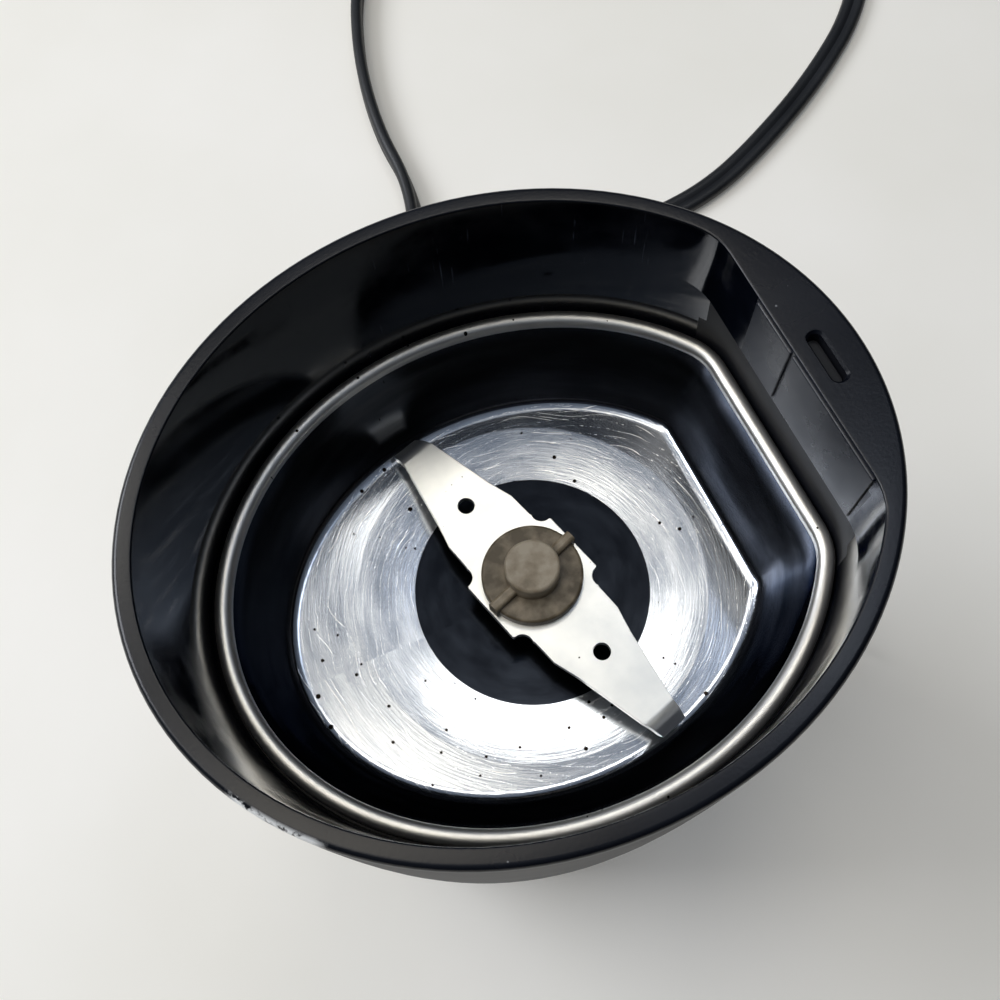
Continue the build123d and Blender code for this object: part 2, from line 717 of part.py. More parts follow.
def field_coil(side):
    """One field coil: a rounded ring of turns round its pole neck."""
    z0 = STACK_Z0 - COIL_PLAY
    z1 = STACK_Z1 + COIL_PLAY
    mid = (z0 + z1) / 2
    hole_y = POLE_NECK + COIL_PLAY
    outer = RectangleRounded(2 * (hole_y + COIL_TURNS), z1 - z0 + 2 * COIL_Z_OVER, 4.5)
    ring = outer - RectangleRounded(2 * hole_y, z1 - z0, 0.8)
    x = ROTOR_R + AIR_GAP + POLE_SHOE + COIL_OFF
    solid = Plane.YZ * extrude(ring, COIL_THICK)
    return HUB * Rot(0, 0, 0 if side > 0 else 180) * Pos(x, 0, mid) * solid


def ball_bearing_bush(r, half, z):
    """Sintered spherical bush, cut flat at both ends."""
    ball = Pos(0, 0, z) * Sphere(r)
    ball &= Pos(0, 0, z) * Box(3 * r, 3 * r, 2 * half)
    return HUB * (ball - post(0, 0, BORE_R, z - r, z + r))


def flat_radius(r, half):
    """Radius of a spherical bush's flat end."""
    return math.sqrt(r * r - half * half)


def cup(r, half, z):
    """The socket that holds a spherical bush, open above, with a lip below."""
    lip_z = z - half
    body = post(0, 0, r + CUP_WALL, lip_z - 0.5, z + half)
    body -= post(0, 0, r + BALL_PLAY, lip_z, z + half + 1)
    return body - post(0, 0, flat_radius(r, half) - 0.3, lip_z - 2, lip_z + 1)


def bearing_clip(r, half, z):
    """Spring washer that keeps the bush in its cup."""
    top = z + half
    return HUB * tube_z(r + CUP_WALL - 0.4, flat_radius(r, half) - 0.2, top, top + CLIP)


def motor_plate():
    """Oval plate that hangs the motor in the shell: bearing cup, air windows, posts and screw eyes."""
    top = PLATE_Z0 + PLATE
    inset = SHELL_WALL + PLATE_PLAY
    plate = Pos(0, 0, PLATE_Z0) * extrude(oval(PLATE_Z0, inset).moved(Location((0, 0, -PLATE_Z0))), PLATE)
    plate -= HUB * post(0, 0, UPPER_BALL_R + CUP_WALL - 0.5, PLATE_Z0 - 1, top + 1)
    plate += HUB * cup(UPPER_BALL_R, UPPER_BALL_HALF, UPPER_BALL_Z)
    for angle in (0, 90, 180, 270):
        arc = CenterArc((0, 0), 17.5, angle + 20, 50)
        window = Pos(HUB_X, 0, PLATE_Z0 - 1) * extrude(trace(arc, 7.0), PLATE + 2)
        plate -= window
    for x, y in stator_bolts():
        plate += HUB * post(x, y, POST_R, STACK_Z1, PLATE_Z0 + 0.5)
        plate -= HUB * post(x, y, BOLT_R + SCREW_PLAY, STACK_Z1 - 1, PLATE_Z0 + 1.5)
    for angle in BOSS_ANGLES:
        x, y = ring_point(angle, BOSS_TOP_Z, SHELL_WALL + BOSS_IN)
        plate -= post(x, y, SCREW_R + 0.4, PLATE_Z0 - 1, top + 1)
    half = SWITCH_THICK / 2
    x0, x1 = SWITCH_X - half + 1, SWITCH_X + half - 1
    plate -= block(x0, x1, SWITCH_Y0 + 1.5, SWITCH_Y1 - 1.5, PLATE_Z0 - 1, top + 1)
    for y in bracket_feet():
        plate -= post(SWITCH_X, y, SMALL_SCREW_R + SCREW_PLAY, PLATE_Z0 - 1, top + 1)
    return plate


def lower_bracket():
    """Moulded bridge under the stator: lower bearing cup, brush shelves and two posts."""
    top = BRIDGE_Z0 + BRIDGE
    plan = Circle(13.0) + Rectangle(12.0, 2 * SHELF_END)
    diagonal = math.degrees(math.atan2(BOLT_Y, BOLT_X))
    reach = 2 * math.hypot(BOLT_X, BOLT_Y)
    plan += Rot(0, 0, diagonal) * SlotCenterToCenter(reach, 2 * POST_R)
    body = Pos(0, 0, BRIDGE_Z0) * extrude(plan, BRIDGE)
    for x, y in bolt_pair():
        body += post(x, y, POST_R, BRIDGE_Z0, STACK_Z0)
    body -= post(0, 0, LOWER_BALL_R + CUP_WALL - 0.5, BRIDGE_Z0 - 1, top + 1)
    body += cup(LOWER_BALL_R, LOWER_BALL_HALF, LOWER_BALL_Z)
    shelf_z = BRUSH_Z - BRUSH_TALL / 2 - HOLDER_PLAY - HOLDER_WALL
    for side in (-1, 1):
        y0, y1 = sorted((side * 12.0, side * SHELF_END))
        body += block(-3.5, 3.5, y0, y1, BRIDGE_Z0, shelf_z)
    for x, y in bolt_pair():
        body -= post(x, y, BOLT_R + SCREW_PLAY, 0, STACK_Z0 + 1)
    return HUB * body


def brush(side):
    """Carbon block with its end hollowed to the commutator."""
    y0 = COMM_R + 0.1
    half = BRUSH_X / 2
    z0, z1 = BRUSH_Z - BRUSH_TALL / 2, BRUSH_Z + BRUSH_TALL / 2
    body = block(-half, half, y0, y0 + BRUSH_LONG, z0, z1)
    body -= post(0, 0, COMM_R + BRUSH_GAP, BRUSH_Z - BRUSH_TALL, BRUSH_Z + BRUSH_TALL)
    body += block(-half, half, y0 + 1.5, y0 + 2, z0, z1)
    return HUB * Rot(0, 0, 0 if side > 0 else 180) * body


def brush_holder(side):
    """Brass tube round a brush, closed behind it."""
    half_x = BRUSH_X / 2 + HOLDER_PLAY
    half_z = BRUSH_TALL / 2 + HOLDER_PLAY
    wall = HOLDER_WALL
    z0, z1 = BRUSH_Z - half_z, BRUSH_Z + half_z
    body = block(-half_x - wall, half_x + wall, HOLDER_Y0, HOLDER_Y1, z0 - wall, z1 + wall)
    body -= block(-half_x, half_x, HOLDER_Y0 - 1, HOLDER_Y1 - wall, z0, z1)
    return HUB * Rot(0, 0, 0 if side > 0 else 180) * body


def coil_spring(radius, wire, turns, length):
    """A coil spring along Z, from its lower end, with open ends inside its length."""
    rise = length - 2 * wire
    path = Pos(0, 0, wire) * Helix(pitch=rise / turns, height=rise, radius=radius)
    section = Plane(origin=path @ 0, z_dir=path % 0) * RegularPolygon(wire, 6)
    return sweep(section, path=path, is_frenet=True)


def brush_spring(side):
    """Spring between a brush and the end of its holder."""
    y0 = COMM_R + 0.1 + BRUSH_LONG + 0.1
    length = HOLDER_Y1 - HOLDER_WALL - 0.1 - y0
    spring = coil_spring(1.9, 0.22, 5, length)
    spring = Pos(0, y0, BRUSH_Z) * Rot(-90, 0, 0) * spring
    return HUB * Rot(0, 0, 0 if side > 0 else 180) * spring


def stator_screws():
    """Two long screws: lower bracket, stator, motor plate."""
    length = PLATE_Z0 + 1.0 - BRIDGE_Z0
    screws = []
    for x, y in bolt_pair():
        screws.append(HUB * pan_screw(x, y, BRIDGE_Z0, BOLT_R, SCREW_HEAD_R, SCREW_HEAD, length))
    return screws


def motor_grommets():
    """Four rubber rings between the motor plate and the shell's bosses."""
    rings = []
    for angle in BOSS_ANGLES:
        x, y = ring_point(angle, BOSS_TOP_Z, SHELL_WALL + BOSS_IN)
        z0 = PLATE_Z0 + PLATE
        ring = post(x, y, GROMMET_R, z0, z0 + GROMMET)
        rings.append(ring - post(x, y, SCREW_R + 0.1, z0 - 1, z0 + GROMMET + 1))
    return rings


def motor_screws():
    """Four screws up through the motor plate and grommets into the shell's bosses."""
    screws = []
    for angle in BOSS_ANGLES:
        x, y = ring_point(angle, BOSS_TOP_Z, SHELL_WALL + BOSS_IN)
        screws.append(pan_screw(x, y, PLATE_Z0, SCREW_R, SCREW_HEAD_R, SCREW_HEAD, MOTOR_SCREW))
    return screws


# ---------------------------------------------------------------- lid switch


def interlock_plunger():
    """The lid's tab presses its tip in the slot; its cranked stem presses the switch lever."""
    deck_under = RIM_Z - DECK_THICK
    tip_half = SLOT_LONG / 2 - SLOT_PLAY
    thick = SLOT_WIDE - 2 * SLOT_PLAY
    strip_x0 = STRIP_X - STRIP_THICK / 2
    strip_x1 = STRIP_X + STRIP_THICK / 2
    shoulder_z1 = deck_under - GUIDE_PLAY
    shoulder_z0 = shoulder_z1 - SHOULDER_TALL
    tip = Pos(SLOT_X, SLOT_Y, shoulder_z0)
    tip *= extrude(SlotOverall(2 * tip_half, thick, rotation=90), RIM_Z - TAB_DOWN - shoulder_z0)
    y0, y1 = SLOT_Y - SHOULDER_HALF, SLOT_Y + SHOULDER_HALF
    shoulder = block(SLOT_X - thick / 2, strip_x1, y0, y1, shoulder_z0, shoulder_z1)
    s0, s1 = SLOT_Y - STRIP_HALF, SLOT_Y + STRIP_HALF
    strip = block(strip_x0, strip_x1, s0, s1, CRANK_Z, shoulder_z1)
    crank = block(STEM_X - STEM_R, strip_x1, SLOT_Y - 2.2, SLOT_Y + 2.2, CRANK_Z - CRANK_TALL, CRANK_Z + 1)
    crank = fillet(crank.edges().filter_by(Axis.Y), 0.8)
    stem_low = lever_top(SLOT_Y) + LEVER_GAP
    stem = post(STEM_X, SLOT_Y, STEM_R, stem_low, CRANK_Z - CRANK_TALL + 0.5)
    return tip + shoulder + strip + crank + stem


def lever_slope():
    """The lever lies flat when the plunger is fully down, so this is its angle at rest."""
    return math.atan2(PLUNGER_TRAVEL, SLOT_Y - LEVER_PIVOT_Y)


def lever_top(y):
    """Height of the lever's upper face at rest, at a place along it."""
    slope = lever_slope()
    pivot_z = SWITCH_TOP_Z + LEVER_SHEET / 2 + 0.35
    return pivot_z + (y - LEVER_PIVOT_Y) * math.tan(slope) + LEVER_SHEET / 2 / math.cos(slope)


def switch_lever():
    """Steel lever of the micro switch, rolled round its pivot pin."""
    pivot_z = SWITCH_TOP_Z + LEVER_SHEET / 2 + 0.35
    length = (LEVER_TIP_Y - LEVER_PIVOT_Y) / math.cos(lever_slope())
    leaf = block(-LEVER_HALF, LEVER_HALF, 0.7, length, -LEVER_SHEET / 2, LEVER_SHEET / 2)
    roll = Rot(0, 90, 0) * Cylinder(0.85, 2 * LEVER_HALF)
    lever = (leaf + roll) - Rot(0, 90, 0) * Cylinder(0.45, 3 * LEVER_HALF)
    turn = math.degrees(lever_slope())
    return Pos(SWITCH_X, LEVER_PIVOT_Y, pivot_z) * Rot(turn, 0, 0) * lever


def button_top_z():
    """Height of the switch button at rest, just under the lever."""
    slope = lever_slope()
    return lever_top(BUTTON_Y - BUTTON_HALF) - LEVER_SHEET / math.cos(slope) - BUTTON_GAP


def switch_button():
    """The switch's own button, a rounded pin under the lever."""
    low = SWITCH_TOP_Z - 3.2
    y0, y1 = BUTTON_Y - BUTTON_HALF, BUTTON_Y + BUTTON_HALF
    pin = block(SWITCH_X - 1.4, SWITCH_X + 1.4, y0, y1, low, button_top_z())
    return fillet(pin.edges().filter_by(Axis.X).group_by(Axis.Z)[-1], 0.5)


def switch_body():
    """Closed micro switch, with ears for the lever's pin and a well for the button."""
    half = SWITCH_THICK / 2
    z0 = PLATE_Z0 + PLATE
    body = block(SWITCH_X - half, SWITCH_X + half, SWITCH_Y0, SWITCH_Y1, z0, SWITCH_TOP_Z)
    body = fillet(body.edges().filter_by(Axis.X), 0.6)
    low = SWITCH_TOP_Z - 4.6
    well = block(SWITCH_X - 1.6, SWITCH_X + 1.6, BUTTON_Y - 1.3, BUTTON_Y + 1.3, low, SWITCH_TOP_Z + 1)
    pivot_z = SWITCH_TOP_Z + LEVER_SHEET / 2 + 0.35
    for side in (-1, 1):
        x0, x1 = sorted((SWITCH_X + side * (LEVER_HALF + 0.15), SWITCH_X + side * (LEVER_HALF + 1.0)))
        y0, y1 = LEVER_PIVOT_Y - 1.2, LEVER_PIVOT_Y + 1.2
        body += block(x0, x1, y0, y1, SWITCH_TOP_Z - 0.5, pivot_z + 1.0)
    pin = Pos(SWITCH_X, LEVER_PIVOT_Y, pivot_z) * Rot(0, 90, 0) * Cylinder(0.4, 2 * LEVER_HALF + 1.6)
    x0, x1 = SWITCH_X - LEVER_HALF - 0.1, SWITCH_X + LEVER_HALF + 0.1
    trough = block(x0, x1, LEVER_PIVOT_Y - 1.1, LEVER_PIVOT_Y + 1.1, pivot_z - 1.1, pivot_z)
    return body - well - trough + pin


def switch_terminals():
    """Three brass tabs under the switch, through the plate's window."""
    tabs = []
    for y in (SWITCH_Y0 + TAB_IN, (SWITCH_Y0 + SWITCH_Y1) / 2, SWITCH_Y1 - TAB_IN):
        low, high = PLATE_Z0 - TAB_LONG, PLATE_Z0 + PLATE
        tabs.append(block(SWITCH_X - 1.4, SWITCH_X + 1.4, y - 0.25, y + 0.25, low, high))
    return tabs


def bracket_feet():
    """Y places of the switch bracket's two feet."""
    return (SWITCH_Y0 - BRACKET_WALL / 2 - 0.1, SWITCH_Y1 + BRACKET_WALL / 2 + 0.1)


def switch_bracket():
    """Goal-post bracket over the switch: holds it at both ends and carries the plunger's spring."""
    x0, x1 = SWITCH_X - 2.8, SWITCH_X + 3.4
    z0 = PLATE_Z0 + PLATE
    low_y, high_y = bracket_feet()
    half = BRACKET_WALL / 2
    frame = block(x0, x1, low_y - half, high_y + half, SHELF_Z, SHELF_Z + SHELF)
    frame += block(x0, x1, low_y - half, low_y + half, z0, SHELF_Z)
    frame += block(x0, x1, high_y - half, high_y + half, z0, SHELF_Z)
    outside = frame.edges().filter_by(Axis.X).group_by(Axis.Z)[-1]
    frame = fillet(outside, 1.2)
    frame &= body_form(SHELL_WALL + 0.4, z0 - 1, SHELF_Z + SHELF + 1, 1)
    frame -= post(STEM_X, SLOT_Y, STEM_R + 0.15, SHELF_Z - 1, SHELF_Z + SHELF + 1)
    for y in (low_y, high_y):
        frame -= post(SWITCH_X, y, SMALL_SCREW_R + SCREW_PLAY, z0 - 1, z0 + 5)
    return frame


def bracket_screws():
    """Two small screws up through the motor plate into the bracket's feet."""
    r = SMALL_SCREW_R
    return [pan_screw(SWITCH_X, y, PLATE_Z0, r, 2.0, 1.2, PLATE + 4.5) for y in bracket_feet()]


def plunger_spring():
    """Return spring round the stem, from the bracket's shelf to the crank."""
    low = SHELF_Z + SHELF + 0.05
    length = CRANK_Z - CRANK_TALL - 0.05 - low
    return Pos(STEM_X, SLOT_Y, low) * coil_spring(SPRING_R, SPRING_WIRE, SPRING_TURNS, length)


# ---------------------------------------------------------------- base


def base_cover():
    """Oval bottom cover with a locating spigot, air slots, screw holes and recesses for the feet."""
    foot = oval(SHELL_BOTTOM_Z, 0).moved(Location((0, 0, -SHELL_BOTTOM_Z)))
    cover = Pos(0, 0, COVER_Z0) * extrude(foot, SHELL_BOTTOM_Z - COVER_Z0)
    cover = fillet(cover.edges().group_by(Axis.Z)[0], COVER_ROUND)
    inset = SHELL_WALL + SPIGOT_PLAY
    top = SHELL_BOTTOM_Z + SPIGOT_TALL
    spigot = body_form(inset, SHELL_BOTTOM_Z, top, 1)
    spigot -= body_form(inset + SPIGOT_WALL, SHELL_BOTTOM_Z - 1, top + 1, 1)
    for angle in BASE_SCREW_ANGLES:
        x, y = ring_point(angle, SHELL_BOTTOM_Z, SHELL_WALL + BASE_BOSS_IN)
        spigot -= post(x, y, BASE_BOSS_R + 0.4, 0, top + 1)
    spigot -= block(-8, 8, 20, RIM_B, SHELL_BOTTOM_Z - 1, top + 1)
    cover += spigot
    for angle in BASE_SCREW_ANGLES:
        x, y = ring_point(angle, SHELL_BOTTOM_Z, SHELL_WALL + BASE_BOSS_IN)
        cover -= post(x, y, SCREW_R + SCREW_PLAY, 0, SHELL_BOTTOM_Z + 1)
        cover -= post(x, y, SCREW_HEAD_R + 0.2, 0, COVER_Z0 + 1.2)
    for angle in FOOT_ANGLES:
        x, y = ring_point(angle, SHELL_BOTTOM_Z, FOOT_IN)
        cover -= post(x, y, FOOT_R + 0.1, 0, COVER_Z0 + FOOT_RECESS)
    for row in range(-VENT_ROWS, VENT_ROWS + 1):
        x = row * VENT_PITCH
        half = math.sqrt(VENT_R**2 - x**2) - VENT_WIDE / 2
        slot = SlotCenterToCenter(2 * half, VENT_WIDE, rotation=90)
        cover -= HUB * Pos(x, 0, COVER_Z0 - 1) * extrude(slot, SHELL_BOTTOM_Z - COVER_Z0 + 2)
    return cover + clamp_block()


def clamp_block():
    """Block on the cover that the cord is clamped to, inside the exit."""
    top = CORD_Z - CORD_THICK / 2
    y1 = RIM_B - TAPER - SHELL_WALL - 3.4
    body = block(-9.0, 9.0, y1 - 6.0, y1, SHELL_BOTTOM_Z - 0.5, top)
    for x in (-6.2, 6.2):
        body -= post(x, y1 - 3.0, SMALL_SCREW_R + SCREW_PLAY, SHELL_BOTTOM_Z, top + 1)
    return body


def feet():
    """Four rubber feet in the cover's recesses."""
    pads = []
    for angle in FOOT_ANGLES:
        x, y = ring_point(angle, SHELL_BOTTOM_Z, FOOT_IN)
        pad = post(x, y, FOOT_R, 0, COVER_Z0 + FOOT_RECESS)
        pads.append(fillet(pad.edges().group_by(Axis.Z)[0], 0.7))
    return pads


def base_screws():
    """Four screws up through the cover into the shell."""
    screws = []
    for angle in BASE_SCREW_ANGLES:
        x, y = ring_point(angle, SHELL_BOTTOM_Z, SHELL_WALL + BASE_BOSS_IN)
        screws.append(pan_screw(x, y, COVER_Z0 + 1.2, SCREW_R, SCREW_HEAD_R, BASE_HEAD, BASE_SCREW))
    return screws


# ---------------------------------------------------------------- cord and plug


def strain_relief():
    """Rubber boot in the wall: inner flange, neck, collar and ribbed taper, with the cord in it."""
    start = RIM_B - TAPER
    neck = Pos(0, start - 1, CORD_Z) * Rot(90, 0, 0) * Cylinder(RELIEF_NECK_R, 12)
    flange = Pos(0, start - 3, CORD_Z) * Rot(90, 0, 0) * Cylinder(RELIEF_COLLAR_R, 8)
    flange &= body_form(SHELL_WALL + 0.05, SHELL_BOTTOM_Z, 3 * CORD_Z, 2)
    flange -= block(-20, 20, -10, start - SHELL_WALL - 1.6, 0, 3 * CORD_Z)
    neck -= block(-20, 20, -10, start - SHELL_WALL - 1.6, 0, 3 * CORD_Z)
    collar = Pos(0, start + 2.5, CORD_Z) * Rot(90, 0, 0) * Cylinder(RELIEF_COLLAR_R, 5)
    collar -= body_form(-0.05, SHELL_BOTTOM_Z, 3 * CORD_Z, 2)
    tip = Plane(origin=(0, RELIEF_TIP_Y, CORD_Z), x_dir=(1, 0, 0), z_dir=(0, 1, 0))
    root = Plane(origin=(0, start + 5, CORD_Z), x_dir=(1, 0, 0), z_dir=(0, 1, 0))
    end = tip * Ellipse(CORD_WIDE / 2 + 0.7, CORD_THICK / 2 + 0.9)
    boot = loft([root * Ellipse(RELIEF_COLLAR_R, RELIEF_COLLAR_R), end])
    for k in range(4):
        y = start + 8.5 + 3.6 * k
        groove = block(-7, 7, y, y + 1.2, CORD_Z - 7, CORD_Z + 7)
        core = block(-CORD_WIDE / 2 - 0.2, CORD_WIDE / 2 + 0.2, y, y + 1.2, CORD_Z - 2.3, CORD_Z + 2.3)
        boot -= groove - core
    return neck + flange + collar + boot


def cord_tail_inside():
    """The last of the cord inside the body, from the boot to the clamp."""
    y1 = RIM_B - TAPER - SHELL_WALL - 1.6
    half = CORD_THICK / 2
    body = block(-CORD_WIDE / 2, CORD_WIDE / 2, CORD_END_Y, y1, CORD_Z - half, CORD_Z + half)
    return fillet(body.edges().filter_by(Axis.Y), half - 0.1)


def cord_clamp():
    """Bar that holds the cord down on its block."""
    y1 = RIM_B - TAPER - SHELL_WALL - 3.4
    z0 = CORD_Z - CORD_THICK / 2
    bar = block(-9.0, 9.0, y1 - 6.0, y1, z0, CORD_Z + CORD_THICK / 2 + 2.0)
    bar -= block(-CORD_WIDE / 2 - 0.1, CORD_WIDE / 2 + 0.1, y1 - 7, y1 + 1, z0 - 1, CORD_Z + CORD_THICK / 2)
    bar = fillet(bar.edges().filter_by(Axis.Y).group_by(Axis.Z)[-1], 1.2)
    for x in (-6.2, 6.2):
        bar -= post(x, y1 - 3.0, SMALL_SCREW_R + SCREW_PLAY, z0 - 1, CORD_Z + 6)
    return bar


def clamp_screws():
    """Two screws down through the clamp bar."""
    y1 = RIM_B - TAPER - SHELL_WALL - 3.4
    seat = CORD_Z + CORD_THICK / 2 + 2.0
    return [pan_screw(x, y1 - 3.0, seat, SMALL_SCREW_R, 1.9, 1.2, 7.5, up=-1) for x in (-6.2, 6.2)]


def route_radii(points):
    """Arc radius at each inner point: 0.45 of the shorter run over the tangent of half the turn."""
    radii = []
    for before, here, after in zip(points, points[1:], points[2:]):
        arrive = Vector(*here) - Vector(*before)
        leave = Vector(*after) - Vector(*here)
        half = math.radians(arrive.get_angle(leave)) / 2
        radii.append(0.45 * min(arrive.length, leave.length) / math.tan(half))
    return radii


def smooth_path(points):
    """Straight runs joined by tangent arcs."""
    return FilletPolyline(*points, radius=route_radii(points))


def flat_cord(points):
    """A flat twin lead swept along a route, lying on its wide side."""
    path = smooth_path(points)
    start = Vector(*points[1]) - Vector(*points[0])
    across = start.cross(Vector(0, 0, 1)).normalized()
    plane = Plane(origin=points[0], x_dir=across, z_dir=start.normalized())
    section = plane * RectangleRounded(CORD_WIDE, CORD_THICK, CORD_THICK * 0.45)
    return sweep(section, path=path), path


def cord_coil():
    """The first turn of the spare length, a closed ring that the cord runs into."""
    ring = Pos(CORD_COIL_R, CORD_LIE_Z) * RectangleRounded(CORD_WIDE, CORD_THICK, CORD_THICK * 0.45)
    solid = revolve(Plane.XZ * ring, Axis.Z)
    return Pos(*COIL_CENTRE, 0) * solid


def tail_route():
    """The last third of a turn, on top of the ring, then straight on to the plug beside it."""
    reach = CORD_COIL_R / math.cos(math.radians(TAIL_STEP / 2))
    points = []
    for k, z in enumerate(TAIL_HEIGHTS):
        turn = math.radians(TAIL_START + TAIL_STEP * k)
        x = COIL_CENTRE[0] + reach * math.cos(turn)
        y = COIL_CENTRE[1] + reach * math.sin(turn)
        points.append((x, y, z))
    return points + TAIL_END


def plug_place():
    """The plug's own frame: X across, Y up, Z the way its prongs point."""
    before, last = tail_route()[-2:]
    ahead = Vector(last[0] - before[0], last[1] - before[1], 0).normalized()
    return Plane(origin=last, x_dir=ahead.cross(Vector(0, 0, 1)), z_dir=ahead)


def plug_body():
    """Moulded two-prong plug: boot, waist and a rounded head."""
    head_z = PLUG_BOOT
    boot = loft([Ellipse(CORD_WIDE / 2 + 0.6, CORD_THICK / 2 + 0.9), Pos(0, 0, head_z) * Ellipse(6.0, 4.4)])
    sections = [
        Pos(0, 0, head_z) * RectangleRounded(14.0, 9.6, 4.0),
        Pos(0, 0, head_z + PLUG_LONG * 0.55) * RectangleRounded(PLUG_WIDE - 1.6, PLUG_THICK - 0.6, 4.6),
        Pos(0, 0, head_z + PLUG_LONG) * RectangleRounded(PLUG_WIDE, PLUG_THICK, 4.8),
    ]
    head = loft(sections, ruled=True)
    return plug_place() * (boot + head)


def plug_prongs():
    """Two flat brass prongs with holes near their tips."""
    prongs = []
    z0 = PLUG_BOOT + PLUG_LONG
    for side in (-1, 1):
        x = side * PRONG_PITCH / 2
        half = PRONG_THICK / 2
        prong = block(x - half, x + half, -PRONG_WIDE / 2, PRONG_WIDE / 2, z0, z0 + PRONG_LONG)
        prong = chamfer(prong.faces().sort_by(Axis.Z)[-1].edges().filter_by(Axis.Y), 0.5)
        prong -= Pos(x, 0, z0 + PRONG_LONG - 3.6) * Rot(0, 90, 0) * Cylinder(1.6, 4)
        prongs.append(plug_place() * prong)
    return prongs


def lead_wires():
    """Insulated leads inside: cord to switch, cord to coil, switch to coil, and each coil to its brush."""
    tab_y = SWITCH_Y1 - TAB_IN
    near_y = SWITCH_Y0 + TAB_IN
    tab_z = PLATE_Z0 - TAB_LONG
    coil_x = HUB_X + ROTOR_R + AIR_GAP + POLE_SHOE + COIL_OFF + COIL_THICK
    other_x = 2 * HUB_X - coil_x
    low_z = STACK_Z0 - COIL_PLAY - COIL_Z_OVER / 2
    high_z = STACK_Z1 + COIL_PLAY + COIL_Z_OVER / 2
    holder_x = BRUSH_X / 2 + HOLDER_PLAY + HOLDER_WALL
    start_y = CORD_END_Y
    side_x = RIM_A - LEAD_SIDE_IN
    stator_x = HUB_X - STATOR_X
    back_y = RIM_B - LEAD_BACK_IN
    down_y = start_y - LEAD_DIP
    to_switch = [(CORE_X, start_y, CORD_Z), (CORE_X, start_y - 2.1, CORD_Z), (7.0, down_y, 13.6)]
    to_switch += [(12.5, start_y - 0.5, 17.5), (side_x - 10.5, back_y, 27.0)]
    to_switch += [(SWITCH_X - 9.0, back_y - 3.5, 38.0), (SWITCH_X - 2.5, SWITCH_Y1 + 5.3, 50.0)]
    to_switch += [(SWITCH_X, tab_y, tab_z - TAB_LEAD), (SWITCH_X, tab_y, tab_z)]
    to_coil = [(-CORE_X, start_y, CORD_Z), (-CORE_X, start_y - 2.1, CORD_Z), (-7.0, down_y, 13.6)]
    to_coil += [(-12.5, start_y - 0.5, 17.5), (10.5 - side_x, back_y - 1.5, 25.0)]
    to_coil += [(stator_x - 5.5, 16.0, 30.0), (stator_x - 4.0, 3.5, low_z)]
    to_coil += [(other_x - 6.0, -2.0, low_z), (other_x, -2.0, low_z)]
    across = [(SWITCH_X, near_y, tab_z), (SWITCH_X, near_y, tab_z - 2.8)]
    across += [(SWITCH_X - 4.0, near_y, tab_z - 2.5), (SWITCH_X - 9.5, -8.0, high_z)]
    across += [(coil_x, -8.0, high_z)]
    brush_y = -(HOLDER_Y1 - 5.5)
    front = [(coil_x, -8.0, low_z), (coil_x + 4.2, -8.0, low_z), (coil_x + 5.7, -15.0, low_z - 2.3)]
    front += [(coil_x - 1.3, brush_y + 0.5, BRUSH_Z + 2.5), (HUB_X + 11.0, brush_y, BRUSH_Z)]
    front += [(HUB_X + holder_x, brush_y, BRUSH_Z)]
    rear = [(2 * HUB_X - x, -y, z) for x, y, z in front]
    wires = []
    for points in (to_switch, to_coil, across, front, rear):
        path = smooth_path(points)
        plane = Plane(origin=path @ 0, z_dir=path % 0)
        wires.append(sweep(plane * Circle(LEAD_R), path=path))
    return wires


# ---------------------------------------------------------------- all sub-parts


def group(solids):
    """Several separate solids in one node."""
    return Compound(children=[s if isinstance(s, Solid) else s.solid() for s in solids])


power_cord, cord_path = flat_cord(CORD_ROUTE)
tail_cord, tail_path = flat_cord(tail_route())
print("cord radii", [round(r, 1) for r in route_radii(CORD_ROUTE)])
print("tail radii", [round(r, 1) for r in route_radii(tail_route())])
print("cord length", round(cord_path.length, 1), "tail length", round(tail_path.length, 1))
print("cord volume", round(power_cord.volume, 1))

